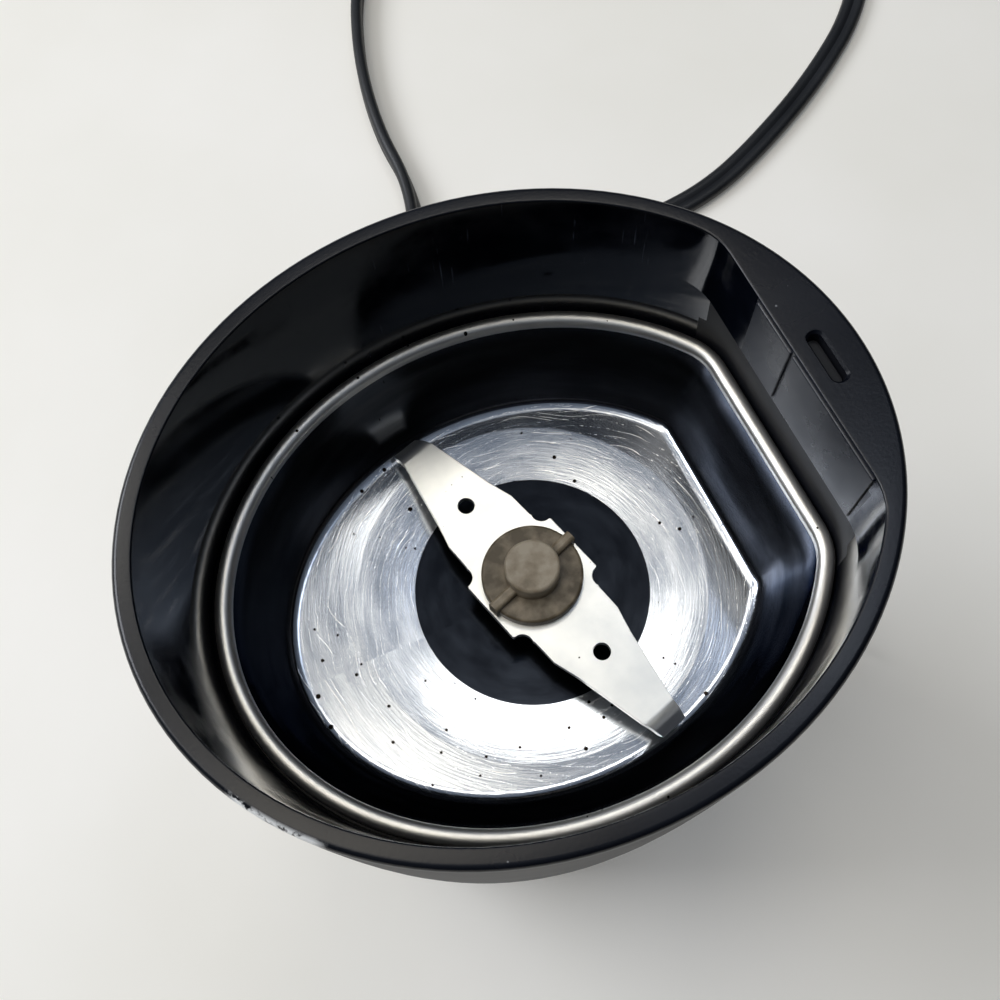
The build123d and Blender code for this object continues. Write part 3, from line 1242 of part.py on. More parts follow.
nodes = {
    "housing": housing(),
    "grinding_bowl": grinding_bowl(),
    "bowl_gasket": bowl_gasket(),
    "shaft_seal": shaft_seal(),
    "blade": blade(),
    "blade_hub": blade_hub(),
    "drive_shaft": drive_shaft(),
    "rotor_core": rotor_core(),
    "rotor_winding": rotor_winding(),
    "commutator": commutator(),
    "shaft_spacers": group(shaft_spacers()),
    "cooling_fan": cooling_fan(),
    "stator_core": stator_core(),
    "field_coil_left": field_coil(-1),
    "field_coil_right": field_coil(1),
    "upper_bearing": ball_bearing_bush(UPPER_BALL_R, UPPER_BALL_HALF, UPPER_BALL_Z),
    "lower_bearing": ball_bearing_bush(LOWER_BALL_R, LOWER_BALL_HALF, LOWER_BALL_Z),
    "upper_bearing_clip": bearing_clip(UPPER_BALL_R, UPPER_BALL_HALF, UPPER_BALL_Z),
    "lower_bearing_clip": bearing_clip(LOWER_BALL_R, LOWER_BALL_HALF, LOWER_BALL_Z),
    "motor_plate": motor_plate(),
    "lower_bracket": lower_bracket(),
    "brush_front": brush(-1),
    "brush_rear": brush(1),
    "brush_holder_front": brush_holder(-1),
    "brush_holder_rear": brush_holder(1),
    "brush_spring_front": brush_spring(-1),
    "brush_spring_rear": brush_spring(1),
    "stator_screws": group(stator_screws()),
    "motor_grommets": group(motor_grommets()),
    "motor_screws": group(motor_screws()),
    "interlock_plunger": interlock_plunger(),
    "plunger_spring": plunger_spring(),
    "switch_body": switch_body(),
    "switch_button": switch_button(),
    "switch_lever": switch_lever(),
    "switch_terminals": group(switch_terminals()),
    "switch_bracket": switch_bracket(),
    "bracket_screws": group(bracket_screws()),
    "base_cover": base_cover(),
    "feet": group(feet()),
    "base_screws": group(base_screws()),
    "strain_relief": strain_relief(),
    "cord_inside": cord_tail_inside(),
    "cord_clamp": cord_clamp(),
    "clamp_screws": group(clamp_screws()),
    "lead_wires": group(lead_wires()),
    "power_cord": power_cord,
    "cord_coil": cord_coil(),
    "cord_tail": tail_cord,
    "plug_body": plug_body(),
    "plug_prongs": group(plug_prongs()),
}

os.makedirs("parts", exist_ok=True)
for name, shape in nodes.items():
    export_step(shape, f"parts/{name}.step")
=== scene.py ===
import math

import bmesh
import bpy
from mathutils import Matrix, Vector
from mathutils.kdtree import KDTree


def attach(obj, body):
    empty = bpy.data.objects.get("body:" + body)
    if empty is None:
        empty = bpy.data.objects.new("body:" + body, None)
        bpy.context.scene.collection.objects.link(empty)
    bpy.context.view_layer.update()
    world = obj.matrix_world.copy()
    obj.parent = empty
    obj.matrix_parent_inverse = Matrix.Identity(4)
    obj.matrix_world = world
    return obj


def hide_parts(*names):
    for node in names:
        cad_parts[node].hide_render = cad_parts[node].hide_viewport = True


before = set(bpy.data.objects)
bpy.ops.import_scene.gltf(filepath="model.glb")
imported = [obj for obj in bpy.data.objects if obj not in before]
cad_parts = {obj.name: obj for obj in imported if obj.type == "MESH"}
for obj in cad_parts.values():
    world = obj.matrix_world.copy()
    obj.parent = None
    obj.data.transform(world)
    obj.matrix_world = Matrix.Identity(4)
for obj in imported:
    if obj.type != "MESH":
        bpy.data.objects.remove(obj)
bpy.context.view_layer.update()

bpy.ops.object.select_all(action="DESELECT")
scene = bpy.context.scene
scene.view_settings.view_transform = "Standard"


# ---------------------------------------------------------------- camera
# A phone held over the open grinder and a little towards its front left, looking steeply
# down and slightly turned, so that the oval rim fills the picture.
MM = 0.001
CAMERA_AT = Vector((-20.107, -47.661, 251.291))
camera_data = bpy.data.cameras.new("camera")
camera_data.sensor_width = 36.0
camera_data.lens = 39.6
camera_data.clip_start = 0.01
camera_data.clip_end = 20.0
camera = bpy.data.objects.new("camera", camera_data)
scene.collection.objects.link(camera)
right = Vector((0.905527, -0.423472, -0.026268))
up = Vector((0.402309, 0.837309, 0.370214))
forward = Vector((0.134781, 0.345807, -0.928575))
turned = Matrix((right, up, -forward)).transposed().to_4x4()
camera.matrix_world = Matrix.Translation(CAMERA_AT * MM) @ turned
scene.camera = camera


# ---------------------------------------------------------------- power cord
# Flat twin lead: two stranded cores side by side in one black PVC sheath, extruded with a
# groove between them. It leaves the back of the body, lies on the table in a wide loop and
# ends in a small coil of the spare length that lies beside the body, under its flare.
CORD_WIDE = 6.4
CORD_THICK = 3.3
CORD_LIE = CORD_THICK / 2 + 0.05
CORD_EXIT = (0.0, 64.0, 12.0)


def new_material(name):
    """A material with its shader and output, and the place on the piece that patterns read."""
    made = bpy.data.materials.new(name)
    made.use_nodes = True
    made.node_tree.nodes.clear()
    shader = add_node(made, "ShaderNodeBsdfPrincipled")
    add_node(made, "ShaderNodeOutputMaterial", links={"Surface": shader.outputs[0]})
    return made, shader, add_node(made, "ShaderNodeTexCoord").outputs["Object"]


def add_node(material, kind, settings=None, links=None):
    """Adds a node with its settings and links; a socket is given by its name or its number, and
    a ramp's stops as (place, sRGB hex)."""
    tree = material.node_tree
    made = tree.nodes.new(kind)
    for key, value in (settings or {}).items():
        if key == "stops":
            elements = made.color_ramp.elements
            while len(elements) < len(value):
                elements.new(0.5)
            for element, (spot, colour) in zip(elements, value):
                element.position = spot
                element.color = srgb(colour)
        elif isinstance(key, str) and hasattr(made, key):
            setattr(made, key, value)
        else:
            made.inputs[key].default_value = value
    for key, source in (links or {}).items():
        tree.links.new(source, made.inputs[key])
    return made


def srgb(text):
    """A colour written as an sRGB hex value, in the linear light that shaders work in."""
    parts = [int(text[k:k + 2], 16) / 255 for k in (1, 3, 5)]
    return tuple(p / 12.92 if p <= 0.04045 else ((p + 0.055) / 1.055) ** 2.4 for p in parts) + (1.0,)


def link_into(shader, socket, source):
    """Feeds a shader's socket from another node."""
    shader.id_data.links.new(source, shader.inputs[socket])


def clouded_finish(name, cloud, tones, roughness, grain=None, metallic=0.0, ior=None):
    """A plain finish. Clouds of a scale and detail move it between two tones, and its roughness
    too where that is a range. A finer grain may stand in relief: its scale, its detail, its
    strength and its depth in metres. Scales are repeats per metre, so 900 is a 1.1 mm grain."""
    made, shader, place = new_material(name)
    clouds = add_node(made, "ShaderNodeTexNoise", {"Scale": cloud[0], "Detail": cloud[1]}, {"Vector": place})
    tint = add_node(made, "ShaderNodeValToRGB", {"stops": tones}, {"Fac": clouds.outputs[0]})
    link_into(shader, "Base Color", tint.outputs[0])
    if isinstance(roughness, tuple):
        sheen = add_node(made, "ShaderNodeMapRange", {"To Min": roughness[0], "To Max": roughness[1]},
                         {"Value": clouds.outputs[0]})
        link_into(shader, "Roughness", sheen.outputs[0])
    else:
        shader.inputs["Roughness"].default_value = roughness
    if grain:
        scale, detail, strength, depth = grain
        grains = add_node(made, "ShaderNodeTexNoise", {"Scale": scale, "Detail": detail}, {"Vector": place})
        relief = add_node(made, "ShaderNodeBump", {"Strength": strength, "Distance": depth},
                          {"Height": grains.outputs[0]})
        link_into(shader, "Normal", relief.outputs[0])
    shader.inputs["Metallic"].default_value = metallic
    if ior:
        shader.inputs["IOR"].default_value = ior
    return made


# Extruded flexible PVC: near-black with a satin skin; the die leaves it faintly uneven,
# and handling leaves slightly shinier places.
pvc = clouded_finish("extruded_pvc_black", (60.0, 3.0), [(0.3, "#0c0e11"), (0.7, "#17191d")], (0.38, 0.55),
                     grain=(900.0, 4.0, 0.25, 0.0002), ior=1.53)

# From the fourth point to the twelfth the lead is twisted on to its edge, so it stands higher
# there; the end of the coil climbs over its start, and the last two points run into the plug.
cord_route = [
    CORD_EXIT, (0.0, 77.0, 12.0), (4.5, 93.0, 9.2), (16.0, 107.5, 5.2), (28.0, 121.5, 3.7),
    (32.8, 139.5, 3.4), (32.2, 160.5, 3.4), (37.2, 187.5, 3.4), (48.0, 215.5, 3.4),
    (70.0, 243.0, 3.3), (105.0, 263.0, 2.9), (147.0, 266.0, 2.1), (181.0, 247.0, CORD_LIE),
    (200.0, 212.0, CORD_LIE), (199.0, 173.0, CORD_LIE), (178.0, 142.0, CORD_LIE), (151.0, 123.0, CORD_LIE),
    (124.0, 109.5, CORD_LIE), (106.0, 103.0, CORD_LIE), (88.0, 101.2, CORD_LIE),
]
COIL_X, COIL_Y, COIL_R = 62.0, 65.0, 36.8
COIL_FROM, COIL_STEP = 78.0, 24.0
coil_heights = [CORD_LIE] * 13 + [2.9, 5.6, 5.5] + [5.1] * 5
for step, height in enumerate(coil_heights):
    turn = math.radians(COIL_FROM + COIL_STEP * step)
    cord_route.append((COIL_X + COIL_R * math.cos(turn), COIL_Y + COIL_R * math.sin(turn), height))
cord_route += [(36.6, 38.6, 5.7), (42.2, 27.6, 6.55)]

curve = bpy.data.curves.new("power_cord_line", "CURVE")
curve.dimensions = "3D"
spline = curve.splines.new("NURBS")
spline.points.add(len(cord_route) - 1)
twists = [0, 0, 0, 20, 55, 80, 90, 90, 90, 75, 40, 10] + [0] * (len(cord_route) - 12)
for point, (x, y, z), twist in zip(spline.points, cord_route, twists):
    point.co = (x * MM, y * MM, z * MM, 1.0)
    point.tilt = math.radians(twist)
spline.order_u = 3
spline.use_endpoint_u = True
spline.resolution_u = 8
curve.twist_mode = "Z_UP"
line = bpy.data.objects.new("power_cord_line", curve)
scene.collection.objects.link(line)
bare = bpy.data.meshes.new_from_object(line)

# The twin section: two round lobes with a groove on each flat side.
LOBE_R = CORD_THICK / 2
GROOVE_Y = 1.02
section = bpy.data.curves.new("cord_section", "CURVE")
section.dimensions = "2D"
outline = section.splines.new("POLY")
corners = []
for side, start in ((1, -120), (-1, 60)):
    for k in range(11):
        turn = math.radians(start + 24 * k)
        corners.append((side * (CORD_WIDE / 2 - LOBE_R) + LOBE_R * math.cos(turn), LOBE_R * math.sin(turn)))
    corners.append((0.0, side * GROOVE_Y))
outline.points.add(len(corners) - 1)
for point, (x, y) in zip(outline.points, corners):
    point.co = (x * MM, y * MM, 0.0, 1.0)
outline.use_cyclic_u = True
section_object = bpy.data.objects.new("cord_section", section)
scene.collection.objects.link(section_object)
curve.bevel_mode = "OBJECT"
curve.bevel_object = section_object
curve.use_fill_caps = True
bpy.context.view_layer.update()
swept = line.evaluated_get(bpy.context.evaluated_depsgraph_get())
power_cord = bpy.data.objects.new("power_cord_twin", bpy.data.meshes.new_from_object(swept))
scene.collection.objects.link(power_cord)
bpy.data.objects.remove(line)
bpy.data.objects.remove(section_object)


def use_edit(piece):
    """Makes a piece the only selected one and opens it for editing, with all of it selected."""
    bpy.ops.object.select_all(action="DESELECT")
    piece.select_set(True)
    bpy.context.view_layer.objects.active = piece
    bpy.ops.object.mode_set(mode="EDIT")
    bpy.ops.mesh.select_all(action="SELECT")


def finish_piece(piece, body, slot, *materials):
    """Gives a piece its materials and its body; the slot is not used."""
    piece.data.materials.clear()
    for material in materials:
        piece.data.materials.append(material)
    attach(piece, body)
    bpy.ops.object.select_all(action="DESELECT")


use_edit(power_cord)
bpy.ops.mesh.remove_doubles(threshold=1e-6)
bpy.ops.mesh.normals_make_consistent(inside=False)
bpy.ops.object.mode_set(mode="OBJECT")
bpy.ops.object.shade_smooth_by_angle(angle=math.radians(50.0))
finish_piece(power_cord, "root", "cord_sheath", pvc)
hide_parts("power_cord", "cord_coil", "cord_tail")


# ---------------------------------------------------------------- strain relief and plug
# Rubber boot moulded on the lead where it leaves the wall, and a moulded PVC plug with two
# flat brass blades at its other end.
WELD = 2e-6
FLAT_WITHIN, SHARP_ABOVE = 0.6, 28.0


def shade_evenly(piece, angle):
    """Shades a piece smooth up to an angle in degrees, and keeps its flats looking flat."""
    bpy.ops.object.shade_smooth_by_angle(angle=math.radians(angle))
    even = piece.modifiers.new("even", "WEIGHTED_NORMAL")
    even.keep_sharp = True
    bpy.ops.object.modifier_apply(modifier="even")


def softened_copy(node, name, soften, segments=2):
    """A copy of a CAD node's own shape, welded, with its sharp edges broken by a few tenths."""
    piece = bpy.data.objects.new(name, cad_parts[node].data.copy())
    scene.collection.objects.link(piece)
    use_edit(piece)
    bpy.ops.mesh.remove_doubles(threshold=WELD)
    bpy.ops.mesh.dissolve_limited(angle_limit=math.radians(FLAT_WITHIN))
    bpy.ops.object.mode_set(mode="OBJECT")
    edge = piece.modifiers.new("edge", "BEVEL")
    edge.width = soften * MM
    edge.segments = segments
    edge.limit_method = "ANGLE"
    edge.angle_limit = math.radians(SHARP_ABOVE)
    edge.use_clamp_overlap = True
    bpy.ops.object.modifier_apply(modifier="edge")
    shade_evenly(piece, SHARP_ABOVE)
    return piece


# Moulded rubber: dull charcoal with a dry, fine grain.
rubber = clouded_finish("moulded_rubber_black", (90.0, 4.0), [(0.3, "#101214"), (0.75, "#1c1e21")], 0.62,
                        grain=(1600.0, 3.0, 0.4, 0.0001), ior=1.52)
strain_relief = softened_copy("strain_relief", "strain_relief_boot", 0.25)
finish_piece(strain_relief, "root", "rubber_black", rubber)
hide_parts("strain_relief")
plug_body = softened_copy("plug_body", "plug_head", 0.8, 3)
finish_piece(plug_body, "root", "cord_sheath", pvc)
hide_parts("plug_body")

# Stamped brass: warm yellow, bright where it has been pushed into a socket.
brass = clouded_finish("stamped_brass", (300.0, 5.0), [(0.3, "#b8934a"), (0.7, "#d6b569")], (0.22, 0.4),
                       metallic=1.0)
plug_prongs = softened_copy("plug_prongs", "plug_blades", 0.15)
finish_piece(plug_prongs, "root", "brass", brass)
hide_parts("plug_prongs")


# ---------------------------------------------------------------- table and light
# A pale matt table top under a ceiling with five panels of light and a broad softer window
# light from the far left, in a dim room, so that polished steel has something bright and
# something dark to show.
bpy.ops.mesh.primitive_plane_add(size=6.0, location=(0, 0, 0))
table = bpy.context.object
table.name = "table"
# Matt laminate: an even warm white, hardly clouded; the eye and polished metal see it a
# little brighter than the lamps alone make it.
laminate, shader, place = new_material("matt_table_laminate")
cloud = add_node(laminate, "ShaderNodeTexNoise", {"Scale": 9.0, "Detail": 4.0}, {"Vector": place})
tint = add_node(laminate, "ShaderNodeValToRGB", {"stops": [(0.35, "#ebe8df"), (0.65, "#f1eee7")]},
                {"Fac": cloud.outputs[0]})
link_into(shader, "Base Color", tint.outputs[0])
shader.inputs["Roughness"].default_value = 0.6
rays = add_node(laminate, "ShaderNodeLightPath")
seen = add_node(laminate, "ShaderNodeMath", {"operation": "MAXIMUM"},
                {0: rays.outputs["Is Camera Ray"], 1: rays.outputs["Is Glossy Ray"]})
lift = add_node(laminate, "ShaderNodeMath", {"operation": "MULTIPLY", 1: 0.13}, {0: seen.outputs[0]})
link_into(shader, "Emission Color", tint.outputs[0])
link_into(shader, "Emission Strength", lift.outputs[0])
table.data.materials.append(laminate)

room = bpy.data.worlds.new("room")
scene.world = room
room.use_nodes = True
heading = add_node(room, "ShaderNodeTexCoord").outputs["Generated"]
above = add_node(room, "ShaderNodeVectorMath", {"operation": "DOT_PRODUCT", 1: (-0.25, 0.30, 0.92)},
                 {0: heading})
dimmed = add_node(room, "ShaderNodeValToRGB",
                  {"stops": [(0.0, "#1f2227"), (0.5, "#585e67"), (1.0, "#808997")]},
                  {"Fac": above.outputs["Value"]})
link_into(room.node_tree.nodes["Background"], "Color", dimmed.outputs[0])


def area_lamp(name, spot, aim, size, watts, colour):
    """A flat soft light at a spot in metres, turned to its aim."""
    lamp = bpy.data.lights.new(name, "AREA")
    lamp.shape = "RECTANGLE"
    lamp.size, lamp.size_y = size
    lamp.energy = watts
    lamp.color = srgb(colour)[:3]
    made = bpy.data.objects.new(name, lamp)
    scene.collection.objects.link(made)
    made.location = spot
    made.rotation_euler = (Vector(aim) - Vector(spot)).to_track_quat("-Z", "Y").to_euler()


area_lamp("ceiling", (0.26, 0.56, 1.35), (0.26, 0.56, 0.1), (0.42, 0.26), 1.8, "#fffaf0")
area_lamp("ceiling_wide", (-0.62, 0.02, 1.30), (0.0, 0.0, 0.1), (0.62, 0.80), 2.9, "#fffaf2")
area_lamp("ceiling_left", (-0.13, 0.16, 1.35), (-0.13, 0.16, 0.1), (0.36, 0.30), 1.0, "#fff6e4")
area_lamp("ceiling_right", (0.48, 0.15, 1.35), (0.48, 0.15, 0.1), (0.26, 0.30), 0.75, "#e4eeff")
area_lamp("ceiling_far", (-0.32, 0.68, 1.35), (-0.32, 0.68, 0.1), (0.28, 0.30), 1.1, "#fffaf0")
area_lamp("window", (-0.95, 0.75, 0.95), (0.0, 0.0, 0.1), (0.9, 0.7), 15.0, "#f6f9ff")


# ---------------------------------------------------------------- body shell
# One injection moulding in black ABS with a navy cast: satin outside, on the rim's flat
# and on the deck; polished inside the funnel and silky on the panel under the deck.
abs_satin, shader, place = new_material("abs_moulded_satin")
# Spark-eroded mould texture of about 0.5 mm, and cloudy handling marks of a centimetre or two.
grain = add_node(abs_satin, "ShaderNodeTexNoise", {"Scale": 2200.0, "Detail": 2.0}, {"Vector": place})
cloud = add_node(abs_satin, "ShaderNodeTexNoise", {"Scale": 70.0, "Detail": 5.0}, {"Vector": place})
tint = add_node(abs_satin, "ShaderNodeValToRGB", {"stops": [(0.3, "#05070d"), (0.7, "#090c15")]},
                {"Fac": cloud.outputs[0]})
# The rim's edge is worn pale along a centimetre where the body was knocked, at its front left:
# the outermost half millimetre of the oval, near one spot, broken up by a ragged noise.
oval = add_node(abs_satin, "ShaderNodeMapping", {"Scale": (20.0, 22.78, 0.0)}, {"Vector": place})
out = add_node(abs_satin, "ShaderNodeVectorMath", {"operation": "LENGTH"}, {0: oval.outputs[0]})
rim_only = add_node(abs_satin, "ShaderNodeMapRange", {"From Min": 0.984, "From Max": 0.994},
                    {"Value": out.outputs["Value"]})
away = add_node(abs_satin, "ShaderNodeVectorMath",
                {"operation": "DISTANCE", 1: (-0.0400, -0.0242, 0.1256)}, {0: place})
near = add_node(abs_satin, "ShaderNodeMapRange", {"From Min": 0.0068, "From Max": 0.0050},
                {"Value": away.outputs["Value"]})
ragged = add_node(abs_satin, "ShaderNodeTexNoise", {"Scale": 900.0, "Detail": 5.0}, {"Vector": place})
broken = add_node(abs_satin, "ShaderNodeMapRange", {"From Min": 0.36, "From Max": 0.46},
                  {"Value": ragged.outputs[0]})
edge = add_node(abs_satin, "ShaderNodeMath", {"operation": "MULTIPLY"},
                {0: rim_only.outputs[0], 1: near.outputs[0]})
chip = add_node(abs_satin, "ShaderNodeMath", {"operation": "MULTIPLY"},
                {0: edge.outputs[0], 1: broken.outputs[0]})
worn = add_node(abs_satin, "ShaderNodeMix", {"data_type": "RGBA", 7: srgb("#e9eae9")},
                {0: chip.outputs[0], 6: tint.outputs[0]})
# A few crumbs of pale dust lie on it.
crumbs = add_node(abs_satin, "ShaderNodeTexVoronoi", {"Scale": 330.0}, {"Vector": place})
strewn = add_node(abs_satin, "ShaderNodeMapRange",
                  {"From Min": 0.58, "From Max": 0.75, "To Min": 0.0, "To Max": 0.11},
                  {"Value": cloud.outputs[0]})
crumb = add_node(abs_satin, "ShaderNodeMath", {"operation": "LESS_THAN"},
                 {0: crumbs.outputs["Distance"], 1: strewn.outputs[0]})
dusty = add_node(abs_satin, "ShaderNodeMix", {"data_type": "RGBA", 7: srgb("#6d6f72")},
                 {0: crumb.outputs[0], 6: worn.outputs[2]})
link_into(shader, "Base Color", dusty.outputs[2])
sheen = add_node(abs_satin, "ShaderNodeMapRange", {"To Min": 0.20, "To Max": 0.32},
                 {"Value": cloud.outputs[0]})
# The wall below the rim is eroded coarser than the rim's flat, so it shines less.
level = add_node(abs_satin, "ShaderNodeSeparateXYZ", links={0: place})
coarse = add_node(abs_satin, "ShaderNodeMapRange", {"From Min": 0.1256, "From Max": 0.1245, "To Max": 0.26},
                  {"Value": level.outputs[2]})
dulled = add_node(abs_satin, "ShaderNodeMath", {"operation": "ADD"},
                  {0: sheen.outputs[0], 1: coarse.outputs[0]})
link_into(shader, "Roughness", dulled.outputs[0])
relief = add_node(abs_satin, "ShaderNodeBump", {"Strength": 0.2, "Distance": 0.00006},
                  {"Height": grain.outputs[0]})
link_into(shader, "Normal", relief.outputs[0])
shader.inputs["IOR"].default_value = 1.43

abs_gloss, shader, place = new_material("abs_moulded_gloss")
# Polished by the mould; a film of spice dust and wiping marks dulls it in patches, and fine
# hairlines cross it.
cloud = add_node(abs_gloss, "ShaderNodeTexNoise", {"Scale": 80.0, "Detail": 6.0, "Roughness": 0.6},
                 {"Vector": place})
smudge = add_node(abs_gloss, "ShaderNodeMapRange",
                  {"From Min": 0.45, "From Max": 0.75, "To Min": 0.06, "To Max": 0.24},
                  {"Value": cloud.outputs[0]})
# Dust settles low down, beside the bead, and takes the polish off.
level = add_node(abs_gloss, "ShaderNodeSeparateXYZ", links={0: place})
settled = add_node(abs_gloss, "ShaderNodeMapRange", {"From Min": 0.1015, "From Max": 0.0965, "To Max": 0.28},
                   {"Value": level.outputs[2]})
film = add_node(abs_gloss, "ShaderNodeMath", {"operation": "ADD"},
                {0: smudge.outputs[0], 1: settled.outputs[0]})
link_into(shader, "Roughness", film.outputs[0])
drawn = add_node(abs_gloss, "ShaderNodeMapping", {"Scale": (2600.0, 2600.0, 55.0)}, {"Vector": place})
hairs = add_node(abs_gloss, "ShaderNodeTexNoise", {"Scale": 1.0, "Detail": 2.0}, {"Vector": drawn.outputs[0]})
hairline = add_node(abs_gloss, "ShaderNodeMapRange", {"From Min": 0.66, "From Max": 0.74},
                    {"Value": hairs.outputs[0]})
patchy = add_node(abs_gloss, "ShaderNodeMapRange", {"From Min": 0.52, "From Max": 0.62},
                  {"Value": cloud.outputs[0]})
marks = add_node(abs_gloss, "ShaderNodeMath", {"operation": "MULTIPLY"},
                 {0: hairline.outputs[0], 1: patchy.outputs[0]})
tint = add_node(abs_gloss, "ShaderNodeValToRGB", {"stops": [(0.35, "#03050a"), (0.7, "#090c15")]},
                {"Fac": cloud.outputs[0]})
scored = add_node(abs_gloss, "ShaderNodeMix", {"data_type": "RGBA", 7: srgb("#4c505a")},
                  {0: marks.outputs[0], 6: tint.outputs[0]})
link_into(shader, "Base Color", scored.outputs[2])
shader.inputs["IOR"].default_value = 1.46

# The panel under the deck is struck from a finer-eroded part of the mould: even, silky navy.
abs_silk, shader, place = new_material("abs_moulded_silk")
cloud = add_node(abs_silk, "ShaderNodeTexNoise", {"Scale": 150.0, "Detail": 6.0}, {"Vector": place})
tint = add_node(abs_silk, "ShaderNodeValToRGB", {"stops": [(0.35, "#0a0e17"), (0.7, "#141924")]},
                {"Fac": cloud.outputs[0]})
link_into(shader, "Base Color", tint.outputs[0])
sheen = add_node(abs_silk, "ShaderNodeMapRange",
                 {"From Min": 0.35, "From Max": 0.7, "To Min": 0.24, "To Max": 0.36},
                 {"Value": cloud.outputs[0]})
link_into(shader, "Roughness", sheen.outputs[0])
shader.inputs["IOR"].default_value = 1.54

RIM_A, RIM_B, RIM_TOP = 50.0, 43.9, 126.0
FOOT_Z, PANEL_Z = 4.5, 112.3
LEDGE_Z, LEDGE_THICK = 95.8, 2.4
WALL, TAPER, TAPER_POWER = 2.2, 7.5, 2.2
RIM_ROUND, MOUTH_ROUND = 0.9, 0.3
FINE, FINE_ARC = 40, 20
ARC_STEPS, END_STEPS = 96, 26
ARC_FROM = math.radians(47.0)


def flat_oval(a, b, centre_x, flat_x, corner):
    """Points round an oval with one flat side and two rounded corners, counted from the middle
    of the flat; the far arc has the same points whatever the flat side is."""
    low, high = math.radians(2.0), math.radians(80.0)
    for _ in range(60):
        mid = (low + high) / 2
        size = math.hypot(math.cos(mid) / a, math.sin(mid) / b)
        x = centre_x + a * math.cos(mid) - corner * math.cos(mid) / a / size
        low, high = (mid, high) if x > flat_x - corner else (low, mid)
    size = math.hypot(math.cos(low) / a, math.sin(low) / b)
    middle_y = b * math.sin(low) - corner * math.sin(low) / b / size
    swing = math.atan2(math.sin(low) / b, math.cos(low) / a)
    fine = [(flat_x, middle_y * k / FINE) for k in range(FINE)]
    for k in range(FINE):
        turn = swing * k / FINE
        fine.append((flat_x - corner + corner * math.cos(turn), middle_y + corner * math.sin(turn)))
    for k in range(FINE_ARC + 1):
        turn = low + (ARC_FROM - low) * k / FINE_ARC
        fine.append((centre_x + a * math.cos(turn), b * math.sin(turn)))
    spans = [0.0]
    for one, two in zip(fine, fine[1:]):
        spans.append(spans[-1] + math.dist(one, two))
    end = []
    for step in range(END_STEPS):
        want = spans[-1] * step / END_STEPS
        k = max(i for i in range(len(spans) - 1) if spans[i] <= want)
        share = (want - spans[k]) / (spans[k + 1] - spans[k])
        end.append(tuple(fine[k][i] + (fine[k + 1][i] - fine[k][i]) * share for i in (0, 1)))
    arc = [ARC_FROM + (2 * math.pi - 2 * ARC_FROM) * k / ARC_STEPS for k in range(ARC_STEPS + 1)]
    far = [(centre_x + a * math.cos(t), b * math.sin(t)) for t in arc]
    return end + far + [(x, -y) for x, y in reversed(end[1:])]


def mouth_line(grow):
    """The funnel's mouth in the rim, wider by grow."""
    return flat_oval(47.4 + grow, 41.3 + grow, 0.0, 40.9 + grow, 9.0 + grow)


def beside(points, a, b):
    """Points of a plain oval that stand outside each of the given points, seen from the middle."""
    found = []
    for x, y in points:
        size = math.hypot(x / a, y / b)
        found.append((x / size, y / size))
    return found


def at_height(points, z):
    """Plan points in millimetres, as places in the scene."""
    return [Vector((x * MM, y * MM, z * MM)) for x, y in points]


def body_oval(z, inset, points):
    """The outside of the body at a height, which narrows towards its foot."""
    narrow = TAPER * ((RIM_TOP - z) / (RIM_TOP - FOOT_Z)) ** TAPER_POWER
    return at_height(beside(points, RIM_A - narrow - inset, RIM_B - narrow - inset), z)


def rings_up(lower, upper, low_z, high_z, steps=4):
    """Level rings up a wall, from just above one outline to the other."""
    made = []
    for k in range(1, steps + 1):
        share = k / steps
        step = [(x0 + (x1 - x0) * share, y0 + (y1 - y0) * share) for (x0, y0), (x1, y1) in zip(lower, upper)]
        made.append(at_height(step, low_z + (high_z - low_z) * share))
    return made


def skin_over(name, rings):
    """A new piece: one loop of edges on the first ring, extruded from ring to ring and welded.
    It is left open for editing."""
    bpy.ops.mesh.primitive_circle_add(vertices=len(rings[0]), radius=0.01, fill_type="NOTHING")
    piece = bpy.context.object
    piece.name = name
    for vertex, spot in zip(piece.data.vertices, rings[0]):
        vertex.co = spot
    use_edit(piece)
    for before, after in zip(rings, rings[1:]):
        bpy.ops.mesh.extrude_edges_move()
        near = KDTree(len(before))
        for k, spot in enumerate(before):
            near.insert(spot, k)
        near.balance()
        mesh = bmesh.from_edit_mesh(piece.data)
        for vertex in [v for v in mesh.verts if v.select]:
            vertex.co = after[near.find(vertex.co)[1]]
        bmesh.update_edit_mesh(piece.data)
    bpy.ops.mesh.select_all(action="SELECT")
    bpy.ops.mesh.remove_doubles(threshold=WELD)
    return piece


def cut_away(piece, cutter):
    """Takes the cutter's shape out of the piece and throws the cutter away."""
    cut = piece.modifiers.new("cut", "BOOLEAN")
    cut.object = cutter
    cut.operation = "DIFFERENCE"
    cut.solver = "EXACT"
    bpy.ops.object.select_all(action="DESELECT")
    bpy.context.view_layer.objects.active = piece
    piece.select_set(True)
    bpy.ops.object.modifier_apply(modifier="cut")
    bpy.data.objects.remove(cutter)


def box_between(name, low, high):
    """A block between two corners in millimetres, as a cutter or the start of a piece."""
    bpy.ops.mesh.primitive_cube_add(size=1.0)
    block = bpy.context.object
    block.name = name
    for vertex in block.data.vertices:
        vertex.co = Vector([(lo if c < 0 else hi) * MM for c, lo, hi in zip(vertex.co, low, high)])
    return block


